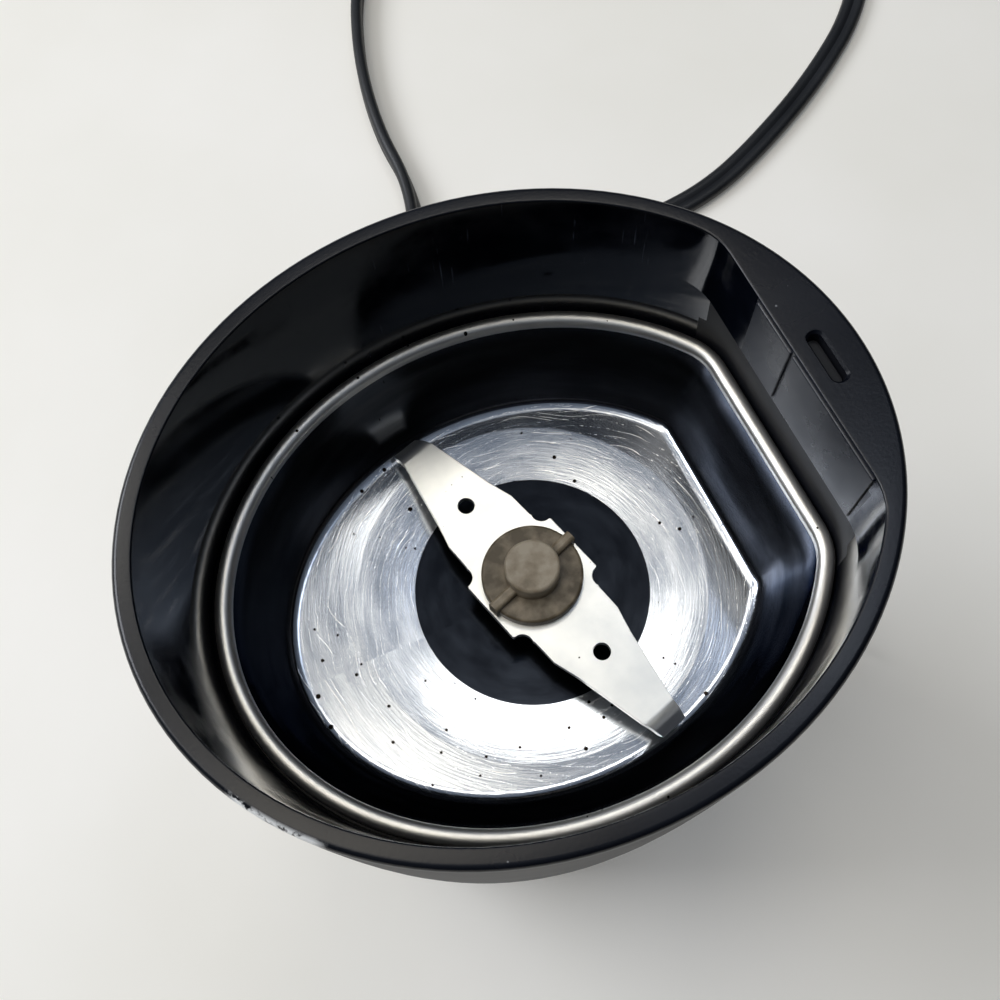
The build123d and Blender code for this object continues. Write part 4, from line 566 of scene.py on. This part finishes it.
# The rings run from the bowl's ledge up the funnel, over the rim, down the outside to the
# foot, and up inside the wall to the ledge again.
lip = flat_oval(47.1, 40.4, 2.0, 44.2, 10.6)
under = flat_oval(47.26, 40.89, 0.91, 44.2, 9.7)
panel = flat_oval(47.26, 40.89, 0.91, 40.9, 9.7)
mouth = mouth_line(0.0)
aperture = flat_oval(45.1, 38.4, 2.0, 42.2, 8.6)
rings = [at_height(lip, LEDGE_Z)] + rings_up(lip, under, LEDGE_Z, PANEL_Z)
rings += [at_height(panel, PANEL_Z)] + rings_up(panel, mouth, PANEL_Z, RIM_TOP - MOUTH_ROUND)
for k in (1, 2, 3):
    turn = math.radians(30.0 * k)
    eased = mouth_line(MOUTH_ROUND - MOUTH_ROUND * math.cos(turn))
    rings.append(at_height(eased, RIM_TOP - MOUTH_ROUND + MOUTH_ROUND * math.sin(turn)))
for k in range(7):
    turn = math.radians(15.0 * k)
    rings.append(body_oval(RIM_TOP, RIM_ROUND - RIM_ROUND * math.sin(turn), mouth))
    for spot in rings[-1]:
        spot.z = (RIM_TOP - RIM_ROUND + RIM_ROUND * math.cos(turn)) * MM
for z in (122, 117, 110, 101, 91, 80, 68, 56, 44, 32, 22, 12, FOOT_Z):
    rings.append(body_oval(z, 0.0, mouth))
for z in (FOOT_Z, 22, 44, 68, LEDGE_Z - LEDGE_THICK):
    rings.append(body_oval(z, WALL, mouth))
rings.append(at_height(aperture, LEDGE_Z - LEDGE_THICK))
rings.append(at_height(aperture, LEDGE_Z))
rings.append(at_height(lip, LEDGE_Z))
shell = skin_over("body_shell", rings)
bpy.ops.mesh.normals_make_consistent(inside=False)
bpy.ops.object.mode_set(mode="OBJECT")

# The slot in the deck with its drawn-in edge, and the shaft behind the panel that the
# switch's plunger runs down.
SLOT_X, SLOT_Y, SLOT_FROM = 44.4, -1.2, 121.0
SLOT_R, SLOT_REACH = 1.05, 2.75
SLOT_DEEP, SLOT_FLARE = 4.6, 0.45
bpy.ops.mesh.primitive_circle_add(vertices=32, radius=SLOT_R * MM, fill_type="NGON", location=(0, 0, 0))
slot = bpy.context.object
for vertex in slot.data.vertices:
    vertex.co.y += (SLOT_REACH if vertex.co.y > 0 else -SLOT_REACH) * MM
    vertex.co += Vector((SLOT_X, SLOT_Y, SLOT_FROM)) * MM
use_edit(slot)
bpy.ops.mesh.extrude_region_move(TRANSFORM_OT_translate={"value": (0, 0, SLOT_DEEP * MM)})
bpy.ops.mesh.extrude_region_move(TRANSFORM_OT_translate={"value": (0, 0, SLOT_FLARE * MM)})
flare_top = (SLOT_X * MM, SLOT_Y * MM, (SLOT_FROM + SLOT_DEEP + SLOT_FLARE) * MM)
bpy.ops.transform.resize(value=(1.35, 1.1, 1.0), center_override=flare_top)
bpy.ops.mesh.select_all(action="SELECT")
bpy.ops.mesh.normals_make_consistent(inside=False)
bpy.ops.object.mode_set(mode="OBJECT")
cut_away(shell, slot)
SHAFT_LOW_Y, SHAFT_HIGH_Y = -8.1, 5.7
SHAFT_FAR_X, SHAFT_TOP = 47.1, 123.6
for name, near_x, low_z in (("shaft_cutter", 45.2, 92.4), ("pocket_cutter", 42.4, 113.8)):
    cut_away(shell, box_between(name, (near_x, SHAFT_LOW_Y, low_z), (SHAFT_FAR_X, SHAFT_HIGH_Y, SHAFT_TOP)))
# The hole in the back wall for the lead's boot.
BORE_R, BORE_LONG, BORE_Y = 4.5, 20.0, 36.4
bpy.ops.mesh.primitive_cylinder_add(
    vertices=40, radius=BORE_R * MM, depth=BORE_LONG * MM,
    location=(0, BORE_Y * MM, CORD_EXIT[2] * MM), rotation=(math.pi / 2, 0, 0))
bore = bpy.context.object
bpy.ops.object.transform_apply(location=True, rotation=True, scale=True)
cut_away(shell, bore)

# The smooth pad on the panel, with the fine line that crosses it.
PAD_LOW, PAD_HIGH, PAD_ROUND = 113.0, 125.4, 0.25
pads = []
for low_y, high_y in ((-18.4, 1.02), (1.38, 10.0)):
    pad = box_between("pad", (40.55, low_y, PAD_LOW), (41.4, high_y, PAD_HIGH))
    rounded = pad.modifiers.new("round", "BEVEL")
    rounded.width = PAD_ROUND * MM
    rounded.segments = 3
    bpy.ops.object.modifier_apply(modifier="round")
    pads.append(pad)
bpy.ops.object.select_all(action="DESELECT")
for piece in pads + [shell]:
    piece.select_set(True)
bpy.context.view_layer.objects.active = shell
bpy.ops.object.join()
shade_evenly(shell, 35)
finish_piece(shell, "root", "body_black", abs_satin, abs_gloss, abs_silk)
# Between the ledge and the rim's flat, the inside is polished, and the pad's face silky.
FUNNEL_A, FUNNEL_B, FUNNEL_X = 48.6, 42.5, 42.0
for face in shell.data.polygons:
    x, y, z = (c / MM for c in face.center)
    within = (x / FUNNEL_A) ** 2 + (y / FUNNEL_B) ** 2 < 1.0 and x < FUNNEL_X
    on_pad = 40.4 < x < 41.0 and -18.5 < y < 10.1 and z > PAD_LOW - 0.1
    if within and LEDGE_Z + 0.1 < z < RIM_TOP - 0.1:
        face.material_index = 2 if on_pad else 1
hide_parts("housing")


# ---------------------------------------------------------------- bowl
# Deep-drawn stainless steel bowl with a rolled bead; its floor is brushed round and worn
# by spices; its polished middle and its wall are painted dark, and its bead painted bright.
def steel_finish(name, pale, dull, roughness, brushing, scored, specks, grazing="#ffffff"):
    """Stainless steel turned and brushed about the shaft: its tone, its brushing and its wear."""
    made, shader, place = new_material(name)
    centred = add_node(made, "ShaderNodeMapping", {"Location": (-0.003, 0.0, 0.0)}, {"Vector": place})
    axes = add_node(made, "ShaderNodeSeparateXYZ", links={0: centred.outputs[0]})
    flat = add_node(made, "ShaderNodeCombineXYZ", links={0: axes.outputs[0], 1: axes.outputs[1]})
    radius = add_node(made, "ShaderNodeVectorMath", {"operation": "LENGTH"}, {0: flat.outputs[0]})
    angle = add_node(made, "ShaderNodeMath", {"operation": "ARCTAN2"},
                     {0: axes.outputs[1], 1: axes.outputs[0]})
    polar = add_node(made, "ShaderNodeCombineXYZ",
                     links={0: radius.outputs["Value"], 1: angle.outputs[0], 2: axes.outputs[2]})
    # Brushing lines 0.3 mm apart, drawn a little coarser than real ones so that they show.
    fine = add_node(made, "ShaderNodeMapping", {"Scale": (3400.0, 5.0, 3400.0)},
                    {"Vector": polar.outputs[0]})
    lines = add_node(made, "ShaderNodeTexNoise", {"Scale": 1.0, "Detail": 4.0}, {"Vector": fine.outputs[0]})
    broad = add_node(made, "ShaderNodeMapping", {"Scale": (420.0, 3.0, 420.0)},
                     {"Vector": polar.outputs[0]})
    bands = add_node(made, "ShaderNodeTexNoise", {"Scale": 1.0, "Detail": 5.0}, {"Vector": broad.outputs[0]})
    tint = add_node(made, "ShaderNodeValToRGB", {"stops": [(0.3, dull), (0.7, pale)]},
                    {"Fac": bands.outputs[0]})
    # Arcs ground in by hard seeds, thrown round by the blade.
    drift = add_node(made, "ShaderNodeTexNoise", {"Scale": 55.0, "Detail": 1.0}, {"Vector": place})
    wander = add_node(made, "ShaderNodeVectorMath", {"operation": "MULTIPLY", 1: (0.009, 0.0, 0.0)},
                      {0: drift.outputs[1]})
    astray = add_node(made, "ShaderNodeVectorMath", {"operation": "ADD"},
                      {0: polar.outputs[0], 1: wander.outputs[0]})
    arcs = add_node(made, "ShaderNodeMapping", {"Scale": (3600.0, 2.2, 1.0), "Location": (0.0, 3.3, 0.0)},
                    {"Vector": astray.outputs[0]})
    scratch = add_node(made, "ShaderNodeTexNoise", {"Scale": 1.0, "Detail": 0.0},
                       {"Vector": arcs.outputs[0]})
    short = add_node(made, "ShaderNodeMapRange", {"From Min": 0.72, "From Max": 0.75, "To Max": scored},
                     {"Value": scratch.outputs[0]})
    # Longer scratches a millimetre and more apart, bowed about a point beside the shaft.
    bowed = add_node(made, "ShaderNodeMapping", {"Location": (-0.0075, 0.0045, 0.0)}, {"Vector": place})
    rings = add_node(made, "ShaderNodeTexWave",
                     {"wave_type": "RINGS", "rings_direction": "Z", "Scale": 230.0, "Distortion": 4.0,
                      "Detail": 1.0, "Detail Scale": 0.4}, {"Vector": bowed.outputs[0]})
    thin = add_node(made, "ShaderNodeMapRange", {"From Min": 0.972, "From Max": 0.996, "To Max": scored},
                    {"Value": rings.outputs["Fac"]})
    here = add_node(made, "ShaderNodeTexNoise", {"Scale": 120.0, "Detail": 2.0},
                    {"Vector": astray.outputs[0]})
    some = add_node(made, "ShaderNodeMapRange", {"From Min": 0.55, "From Max": 0.62},
                    {"Value": here.outputs[0]})
    long = add_node(made, "ShaderNodeMath", {"operation": "MULTIPLY"},
                    {0: thin.outputs[0], 1: some.outputs[0]})
    edge = add_node(made, "ShaderNodeMath", {"operation": "MAXIMUM"},
                    {0: short.outputs[0], 1: long.outputs[0]})
    paler = add_node(made, "ShaderNodeMix", {"data_type": "RGBA", 7: srgb("#f4f6f8")},
                     {0: edge.outputs[0], 6: tint.outputs[0]})
    # Dark specks of old spice, at most 0.8 mm wide, a few millimetres apart.
    spots = add_node(made, "ShaderNodeTexVoronoi", {"voronoi_dimensions": "2D", "Scale": 170.0},
                     {"Vector": place})
    grit = add_node(made, "ShaderNodeTexNoise", {"Scale": 45.0, "Detail": 1.0}, {"Vector": place})
    size = add_node(made, "ShaderNodeMapRange",
                    {"From Min": 0.40, "From Max": 0.66, "To Min": 0.0, "To Max": specks},
                    {"Value": grit.outputs[0]})
    dark = add_node(made, "ShaderNodeMath", {"operation": "LESS_THAN"},
                    {0: spots.outputs["Distance"], 1: size.outputs[0]})
    spiced = add_node(made, "ShaderNodeMix", {"data_type": "RGBA", 7: srgb("#1c1712")},
                      {0: dark.outputs[0], 6: paler.outputs[2]})
    link_into(shader, "Base Color", spiced.outputs[2])
    worn = add_node(made, "ShaderNodeMapRange", {"To Min": roughness - 0.04, "To Max": roughness + 0.04},
                    {"Value": bands.outputs[0]})
    link_into(shader, "Roughness", worn.outputs[0])
    relief = add_node(made, "ShaderNodeBump", {"Strength": brushing, "Distance": 0.00003},
                      {"Height": lines.outputs[0]})
    deeper = add_node(made, "ShaderNodeBump", {"Strength": 0.3, "Distance": 0.00004, "invert": True},
                      {"Height": edge.outputs[0], "Normal": relief.outputs[0]})
    link_into(shader, "Normal", deeper.outputs[0])
    shader.inputs["Metallic"].default_value = 1.0
    # A grazing tint darker than white paints shade into the edge reflection.
    shader.inputs["Specular Tint"].default_value = srgb(grazing)
    return made


# The floor is brushed by use to a bright satin. Its middle, under the blade's root, is polished
# and painted dark, a painted reflection of the dim room it mirrors; the wall is polished and painted
# dark too, with a dark painted edge reflection, for the dark funnel it mirrors; the bead is rolled
# satin, painted near white as a painted highlight.
steel_floor = steel_finish("stainless_floor_brushed", "#d6dae0", "#bcc2cb", 0.165, 0.45, 0.95, 0.068)
steel_disc_painted_dark = steel_finish("stainless_disc_polished_painted_dark", "#262a31", "#1c1f25", 0.17, 0.08, 0.0, 0.02)
steel_wall_painted_dark = steel_finish("stainless_wall_painted_dark", "#6c6f76", "#575a60", 0.2, 0.2, 0.0, 0.02, "#484a4e")
steel_bead_painted_bright = steel_finish("stainless_bead_satin_painted_bright", "#f4f2ec", "#dad8d2", 0.40, 0.6, 0.2, 0.05)

SHAFT_X = 3.0
DISC_R = 19.05
SHEET = 0.6
BEAD_TOP, BEAD_R, BEAD_SKIRT = 98.7, 1.3, 0.8
FLOOR_Z, FLOOR_ROUND, FLOOR_IN = 80.8, 2.4, -6.6


def lip_line(grow):
    """The bowl's outline, larger than the crest of its bead by grow."""
    return flat_oval(45.5 + grow, 38.8 + grow, 2.0, 42.6 + grow, 9.0 + grow)


def hub_circle(r, z, points):
    """A circle about the motor's shaft, its points in the directions of the given ones."""
    turns = [math.atan2(y, x - SHAFT_X) for x, y in points]
    return [Vector(((SHAFT_X + r * math.cos(t)) * MM, r * math.sin(t) * MM, z * MM)) for t in turns]


# Round the bead, down the steep wall and round the fillet to the floor's edge.
rings = [at_height(lip_line(BEAD_R), BEAD_TOP - BEAD_R - BEAD_SKIRT)]
for k in range(13):
    turn = math.radians(15.0 * k)
    rings.append(at_height(lip_line(BEAD_R * math.cos(turn)), BEAD_TOP - BEAD_R + BEAD_R * math.sin(turn)))
rings.append(at_height(lip_line(-BEAD_R), BEAD_TOP - BEAD_R - BEAD_SKIRT / 2))
wall_low, wall_high = (FLOOR_IN, FLOOR_Z), (-BEAD_R, BEAD_TOP - BEAD_R - BEAD_SKIRT)
slope = math.atan2(wall_high[1] - wall_low[1], wall_high[0] - wall_low[0])
reach = FLOOR_ROUND / math.tan((math.pi - slope) / 2)
for k in range(1, 6):
    share = k / 5
    grow = wall_high[0] + (wall_low[0] + reach * math.cos(slope) - wall_high[0]) * share
    z = wall_high[1] + (wall_low[1] + reach * math.sin(slope) - wall_high[1]) * share
    rings.append(at_height(lip_line(grow), z))
centre = (wall_low[0] - reach, FLOOR_Z + FLOOR_ROUND)
for k in range(1, 9):
    turn = slope * (1 - k / 8)
    round_line = lip_line(centre[0] + FLOOR_ROUND * math.sin(turn))
    rings.append(at_height(round_line, centre[1] - FLOOR_ROUND * math.cos(turn)))
# The floor is a shallow dish, its radii and depths measured from the shaft.
floor_edge = lip_line(centre[0])
for r, depth in ((28.5, 0.0), (28.2, 0.02), (24.0, 0.52), (19.5, 1.05), (19.1, 1.1), (18.8, 1.13),
                 (12.0, 1.45), (5.4, 1.78), (5.0, 1.8)):
    rings.append(hub_circle(r, FLOOR_Z - depth, floor_edge))
bowl = skin_over("drawn_bowl", rings)
bpy.ops.object.mode_set(mode="OBJECT")
thick = bowl.modifiers.new("sheet", "SOLIDIFY")
thick.thickness = SHEET * MM
thick.offset = -1.0
bpy.ops.object.modifier_apply(modifier="sheet")
bpy.ops.object.shade_smooth_by_angle(angle=math.radians(35))
finish_piece(bowl, "root", "bowl_steel", steel_wall_painted_dark, steel_floor, steel_disc_painted_dark, steel_bead_painted_bright)
for face in bowl.data.polygons:
    x, y, z = (c / MM for c in face.center)
    if z < FLOOR_Z + 0.5 and face.normal.z > 0.3:
        face.material_index = 2 if math.hypot(x - SHAFT_X, y) < DISC_R else 1
    elif z > BEAD_TOP - BEAD_R - 0.3:
        face.material_index = 3
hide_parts("grinding_bowl")


# ---------------------------------------------------------------- blade and hub
# Stamped stainless blade, satin with dark specks of old spice, and the taupe nylon hub
# that is moulded round its middle.
# Satin stainless, its tone painted near white as a painted highlight for a brighter lit look; its
# even shine hides the blade's slight bends.
blade_steel, shader, place = new_material("stainless_stamped_satin_painted_bright")
fine = add_node(blade_steel, "ShaderNodeTexNoise", {"Scale": 1500.0, "Detail": 4.0}, {"Vector": place})
cloud = add_node(blade_steel, "ShaderNodeTexNoise", {"Scale": 120.0, "Detail": 4.0}, {"Vector": place})
tint = add_node(blade_steel, "ShaderNodeValToRGB", {"stops": [(0.3, "#dedfdc"), (0.7, "#f6f5ef")]},
                {"Fac": cloud.outputs[0]})
spots = add_node(blade_steel, "ShaderNodeTexVoronoi", {"voronoi_dimensions": "2D", "Scale": 260.0},
                 {"Vector": place})
size = add_node(blade_steel, "ShaderNodeMapRange",
                {"From Min": 0.52, "From Max": 0.8, "To Min": 0.0, "To Max": 0.09},
                {"Value": cloud.outputs[0]})
dark = add_node(blade_steel, "ShaderNodeMath", {"operation": "LESS_THAN"},
                {0: spots.outputs["Distance"], 1: size.outputs[0]})
spiced = add_node(blade_steel, "ShaderNodeMix", {"data_type": "RGBA", 7: srgb("#2a241c")},
                  {0: dark.outputs[0], 6: tint.outputs[0]})
link_into(shader, "Base Color", spiced.outputs[2])
relief = add_node(blade_steel, "ShaderNodeBump", {"Strength": 0.3, "Distance": 0.00004},
                  {"Height": fine.outputs[0]})
link_into(shader, "Normal", relief.outputs[0])
shader.inputs["Metallic"].default_value = 1.0
shader.inputs["Roughness"].default_value = 0.36
blade = softened_copy("blade", "stamped_blade", 0.12)
finish_piece(blade, "rotor", "blade_steel", blade_steel)
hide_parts("blade")

hub_nylon, shader, place = new_material("nylon_moulded_taupe")
# Glass-filled nylon: a fine mealy surface, faintly clouded, and a tone darker towards the knob's foot.
mealy = add_node(hub_nylon, "ShaderNodeTexNoise", {"Scale": 2600.0, "Detail": 3.0}, {"Vector": place})
dust = add_node(hub_nylon, "ShaderNodeTexNoise", {"Scale": 420.0, "Detail": 6.0}, {"Vector": place})
level = add_node(hub_nylon, "ShaderNodeSeparateXYZ", links={0: place})
height = add_node(hub_nylon, "ShaderNodeMapRange",
                  {"From Min": 0.0866, "From Max": 0.0895, "To Min": -0.38, "To Max": 0.10},
                  {"Value": level.outputs[2]})
mixed = add_node(hub_nylon, "ShaderNodeMath", {"operation": "ADD"},
                 {0: dust.outputs[0], 1: height.outputs[0]})
tint = add_node(hub_nylon, "ShaderNodeValToRGB",
                {"stops": [(0.25, "#564b37"), (0.5, "#877a65"), (0.75, "#a59a87")]},
                {"Fac": mixed.outputs[0]})
link_into(shader, "Base Color", tint.outputs[0])
relief = add_node(hub_nylon, "ShaderNodeBump", {"Strength": 0.35, "Distance": 0.00006},
                  {"Height": mealy.outputs[0]})
link_into(shader, "Normal", relief.outputs[0])
shader.inputs["Roughness"].default_value = 0.5
shader.inputs["IOR"].default_value = 1.53
hub = softened_copy("blade_hub", "moulded_hub", 0.15)
finish_piece(hub, "rotor", "hub_taupe", hub_nylon)
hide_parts("blade_hub")


# ---------------------------------------------------------------- seals and lid switch's plunger
# Black rubber under the bowl's bead and round the shaft, and the black plunger whose tip
# shows in the deck's slot, moulded in the body's own plastic.
def dress(material, *nodes):
    """Gives the construction's own pieces their finish."""
    for node in nodes:
        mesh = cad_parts[node].data
        mesh.materials.clear()
        mesh.materials.append(material)


dress(rubber, "bowl_gasket", "shaft_seal")
dress(abs_satin, "interlock_plunger")


# ---------------------------------------------------------------- base
# The base cover is moulded in the body's plastic and screwed on from below, with vents under
# the motor's fan and four soft grey feet pressed into it.
dress(abs_satin, "base_cover")
# Moulded grey rubber: matt, with a dry grain that picks up dust.
rubber_grey = clouded_finish("rubber_moulded_grey", (260.0, 5.0), [(0.3, "#4c4d4f"), (0.75, "#64656a")], 0.7,
                             grain=(2000.0, 3.0, 0.4, 0.0001), ior=1.52)
dress(rubber_grey, "feet", "motor_grommets")
# Zinc-plated steel: cool and bright, its sheen a little uneven.
zinc = clouded_finish("steel_screw_zinc_plated", (900.0, 4.0), [(0.3, "#a9aeb4"), (0.7, "#c9cdd0")],
                      (0.25, 0.42), metallic=1.0)
dress(zinc, "base_screws", "motor_screws", "stator_screws", "bracket_screws", "clamp_screws")


# ---------------------------------------------------------------- motor
# Universal motor: stamped laminations, enamelled copper coils, a ground steel shaft in bronze
# bushes, carbon brushes in brass holders, and moulded nylon brackets and fan.
lamination, shader, place = new_material("silicon_steel_laminated")
# Sheets half a millimetre thick, their cut edges seen as lines round the stack.
sheets = add_node(lamination, "ShaderNodeTexWave",
                  {"bands_direction": "Z", "Scale": 628.0, "Distortion": 0.4}, {"Vector": place})
tint = add_node(lamination, "ShaderNodeValToRGB", {"stops": [(0.1, "#4e5357"), (0.6, "#8b9094")]},
                {"Fac": sheets.outputs["Fac"]})
link_into(shader, "Base Color", tint.outputs[0])
relief = add_node(lamination, "ShaderNodeBump", {"Strength": 0.5, "Distance": 0.0001},
                  {"Height": sheets.outputs["Fac"]})
link_into(shader, "Normal", relief.outputs[0])
shader.inputs["Metallic"].default_value = 1.0
shader.inputs["Roughness"].default_value = 0.45
dress(lamination, "rotor_core", "stator_core")

copper, shader, place = new_material("copper_wire_enamelled")
# Wire 0.4 mm thick under clear enamel, in slightly uneven rows, drawn twice as coarse so
# that they show.
rows = add_node(copper, "ShaderNodeTexWave",
                {"bands_direction": "DIAGONAL", "Scale": 450.0, "Distortion": 1.5, "Detail": 1.0},
                {"Vector": place})
tint = add_node(copper, "ShaderNodeValToRGB", {"stops": [(0.15, "#5f2f18"), (0.7, "#b0683c")]},
                {"Fac": rows.outputs["Fac"]})
link_into(shader, "Base Color", tint.outputs[0])
relief = add_node(copper, "ShaderNodeBump", {"Strength": 0.7, "Distance": 0.0002},
                  {"Height": rows.outputs["Fac"]})
link_into(shader, "Normal", relief.outputs[0])
shader.inputs["Metallic"].default_value = 0.9
shader.inputs["Roughness"].default_value = 0.35
dress(copper, "rotor_winding", "commutator", "field_coil_left", "field_coil_right")
dress(brass, "brush_holder_front", "brush_holder_rear", "switch_terminals")

# Ground steel: bright, with grinding lines 0.2 mm apart that run round the shaft.
ground_steel, shader, place = new_material("steel_shaft_ground")
turned = add_node(ground_steel, "ShaderNodeMapping", {"Scale": (60.0, 60.0, 5200.0)}, {"Vector": place})
lines = add_node(ground_steel, "ShaderNodeTexNoise", {"Scale": 1.0, "Detail": 3.0},
                 {"Vector": turned.outputs[0]})
tint = add_node(ground_steel, "ShaderNodeValToRGB", {"stops": [(0.3, "#9a9da0"), (0.7, "#c8cacc")]},
                {"Fac": lines.outputs[0]})
link_into(shader, "Base Color", tint.outputs[0])
sheen = add_node(ground_steel, "ShaderNodeMapRange", {"To Min": 0.16, "To Max": 0.32},
                 {"Value": lines.outputs[0]})
link_into(shader, "Roughness", sheen.outputs[0])
shader.inputs["Metallic"].default_value = 1.0
dress(ground_steel, "drive_shaft", "upper_bearing_clip", "lower_bearing_clip", "brush_spring_front",
      "brush_spring_rear", "plunger_spring", "switch_lever")

# Sintered bronze: brown and dull, with open pores of a third of a millimetre.
bronze = clouded_finish("bronze_sintered", (3200.0, 3.0), [(0.3, "#6e4b25"), (0.6, "#9c7340")], 0.48,
                        metallic=1.0)
dress(bronze, "upper_bearing", "lower_bearing")
# Pressed carbon: sooty black, grained like slate.
carbon = clouded_finish("carbon_pressed", (1800.0, 5.0), [(0.3, "#1b1b1c"), (0.7, "#313132")], 0.6)
dress(carbon, "brush_front", "brush_rear")
# Moulded nylon: black, waxy, with broad flow marks of a few millimetres.
nylon_black = clouded_finish("nylon_moulded_black", (140.0, 5.0), [(0.3, "#1d1f22"), (0.7, "#2b2d31")],
                             (0.42, 0.6), ior=1.53)
dress(nylon_black, "motor_plate", "lower_bracket", "switch_bracket", "cord_clamp")
# The same nylon without pigment: milky bone.
nylon_bone = clouded_finish("nylon_moulded_natural", (120.0, 5.0), [(0.3, "#b9b5a6"), (0.7, "#cdc9bb")],
                            0.45, ior=1.53)
dress(nylon_bone, "cooling_fan")
# Fibre paper: matt blue, with short fibres in it.
paper = clouded_finish("fibre_paper_blue", (1600.0, 6.0), [(0.3, "#35506e"), (0.7, "#4d6c8c")], 0.8)
dress(paper, "shaft_spacers")


# ---------------------------------------------------------------- switch and leads
# Closed micro switch of dark moulded resin with a red button, screwed to its bracket beside
# the plunger's shaft, and soft insulated leads inside the body.
# Moulded phenolic: dark brown, faintly speckled by its wood-flour filler.
resin = clouded_finish("phenolic_moulded_dark", (1300.0, 4.0), [(0.3, "#26211f"), (0.7, "#38312d")], 0.4,
                       ior=1.6)
dress(resin, "switch_body")
# Moulded acetal: an even, slightly soapy red.
acetal_red = clouded_finish("acetal_moulded_red", (500.0, 4.0), [(0.3, "#9c1f1a"), (0.7, "#b52a22")], 0.3,
                            ior=1.48)
dress(acetal_red, "switch_button")
# Extruded PVC insulation: soft off-white.
lead_sheath = clouded_finish("pvc_lead_white", (400.0, 4.0), [(0.3, "#c4c2ba"), (0.7, "#d8d6cf")], 0.45,
                             ior=1.53)
dress(lead_sheath, "lead_wires")
dress(pvc, "cord_inside")
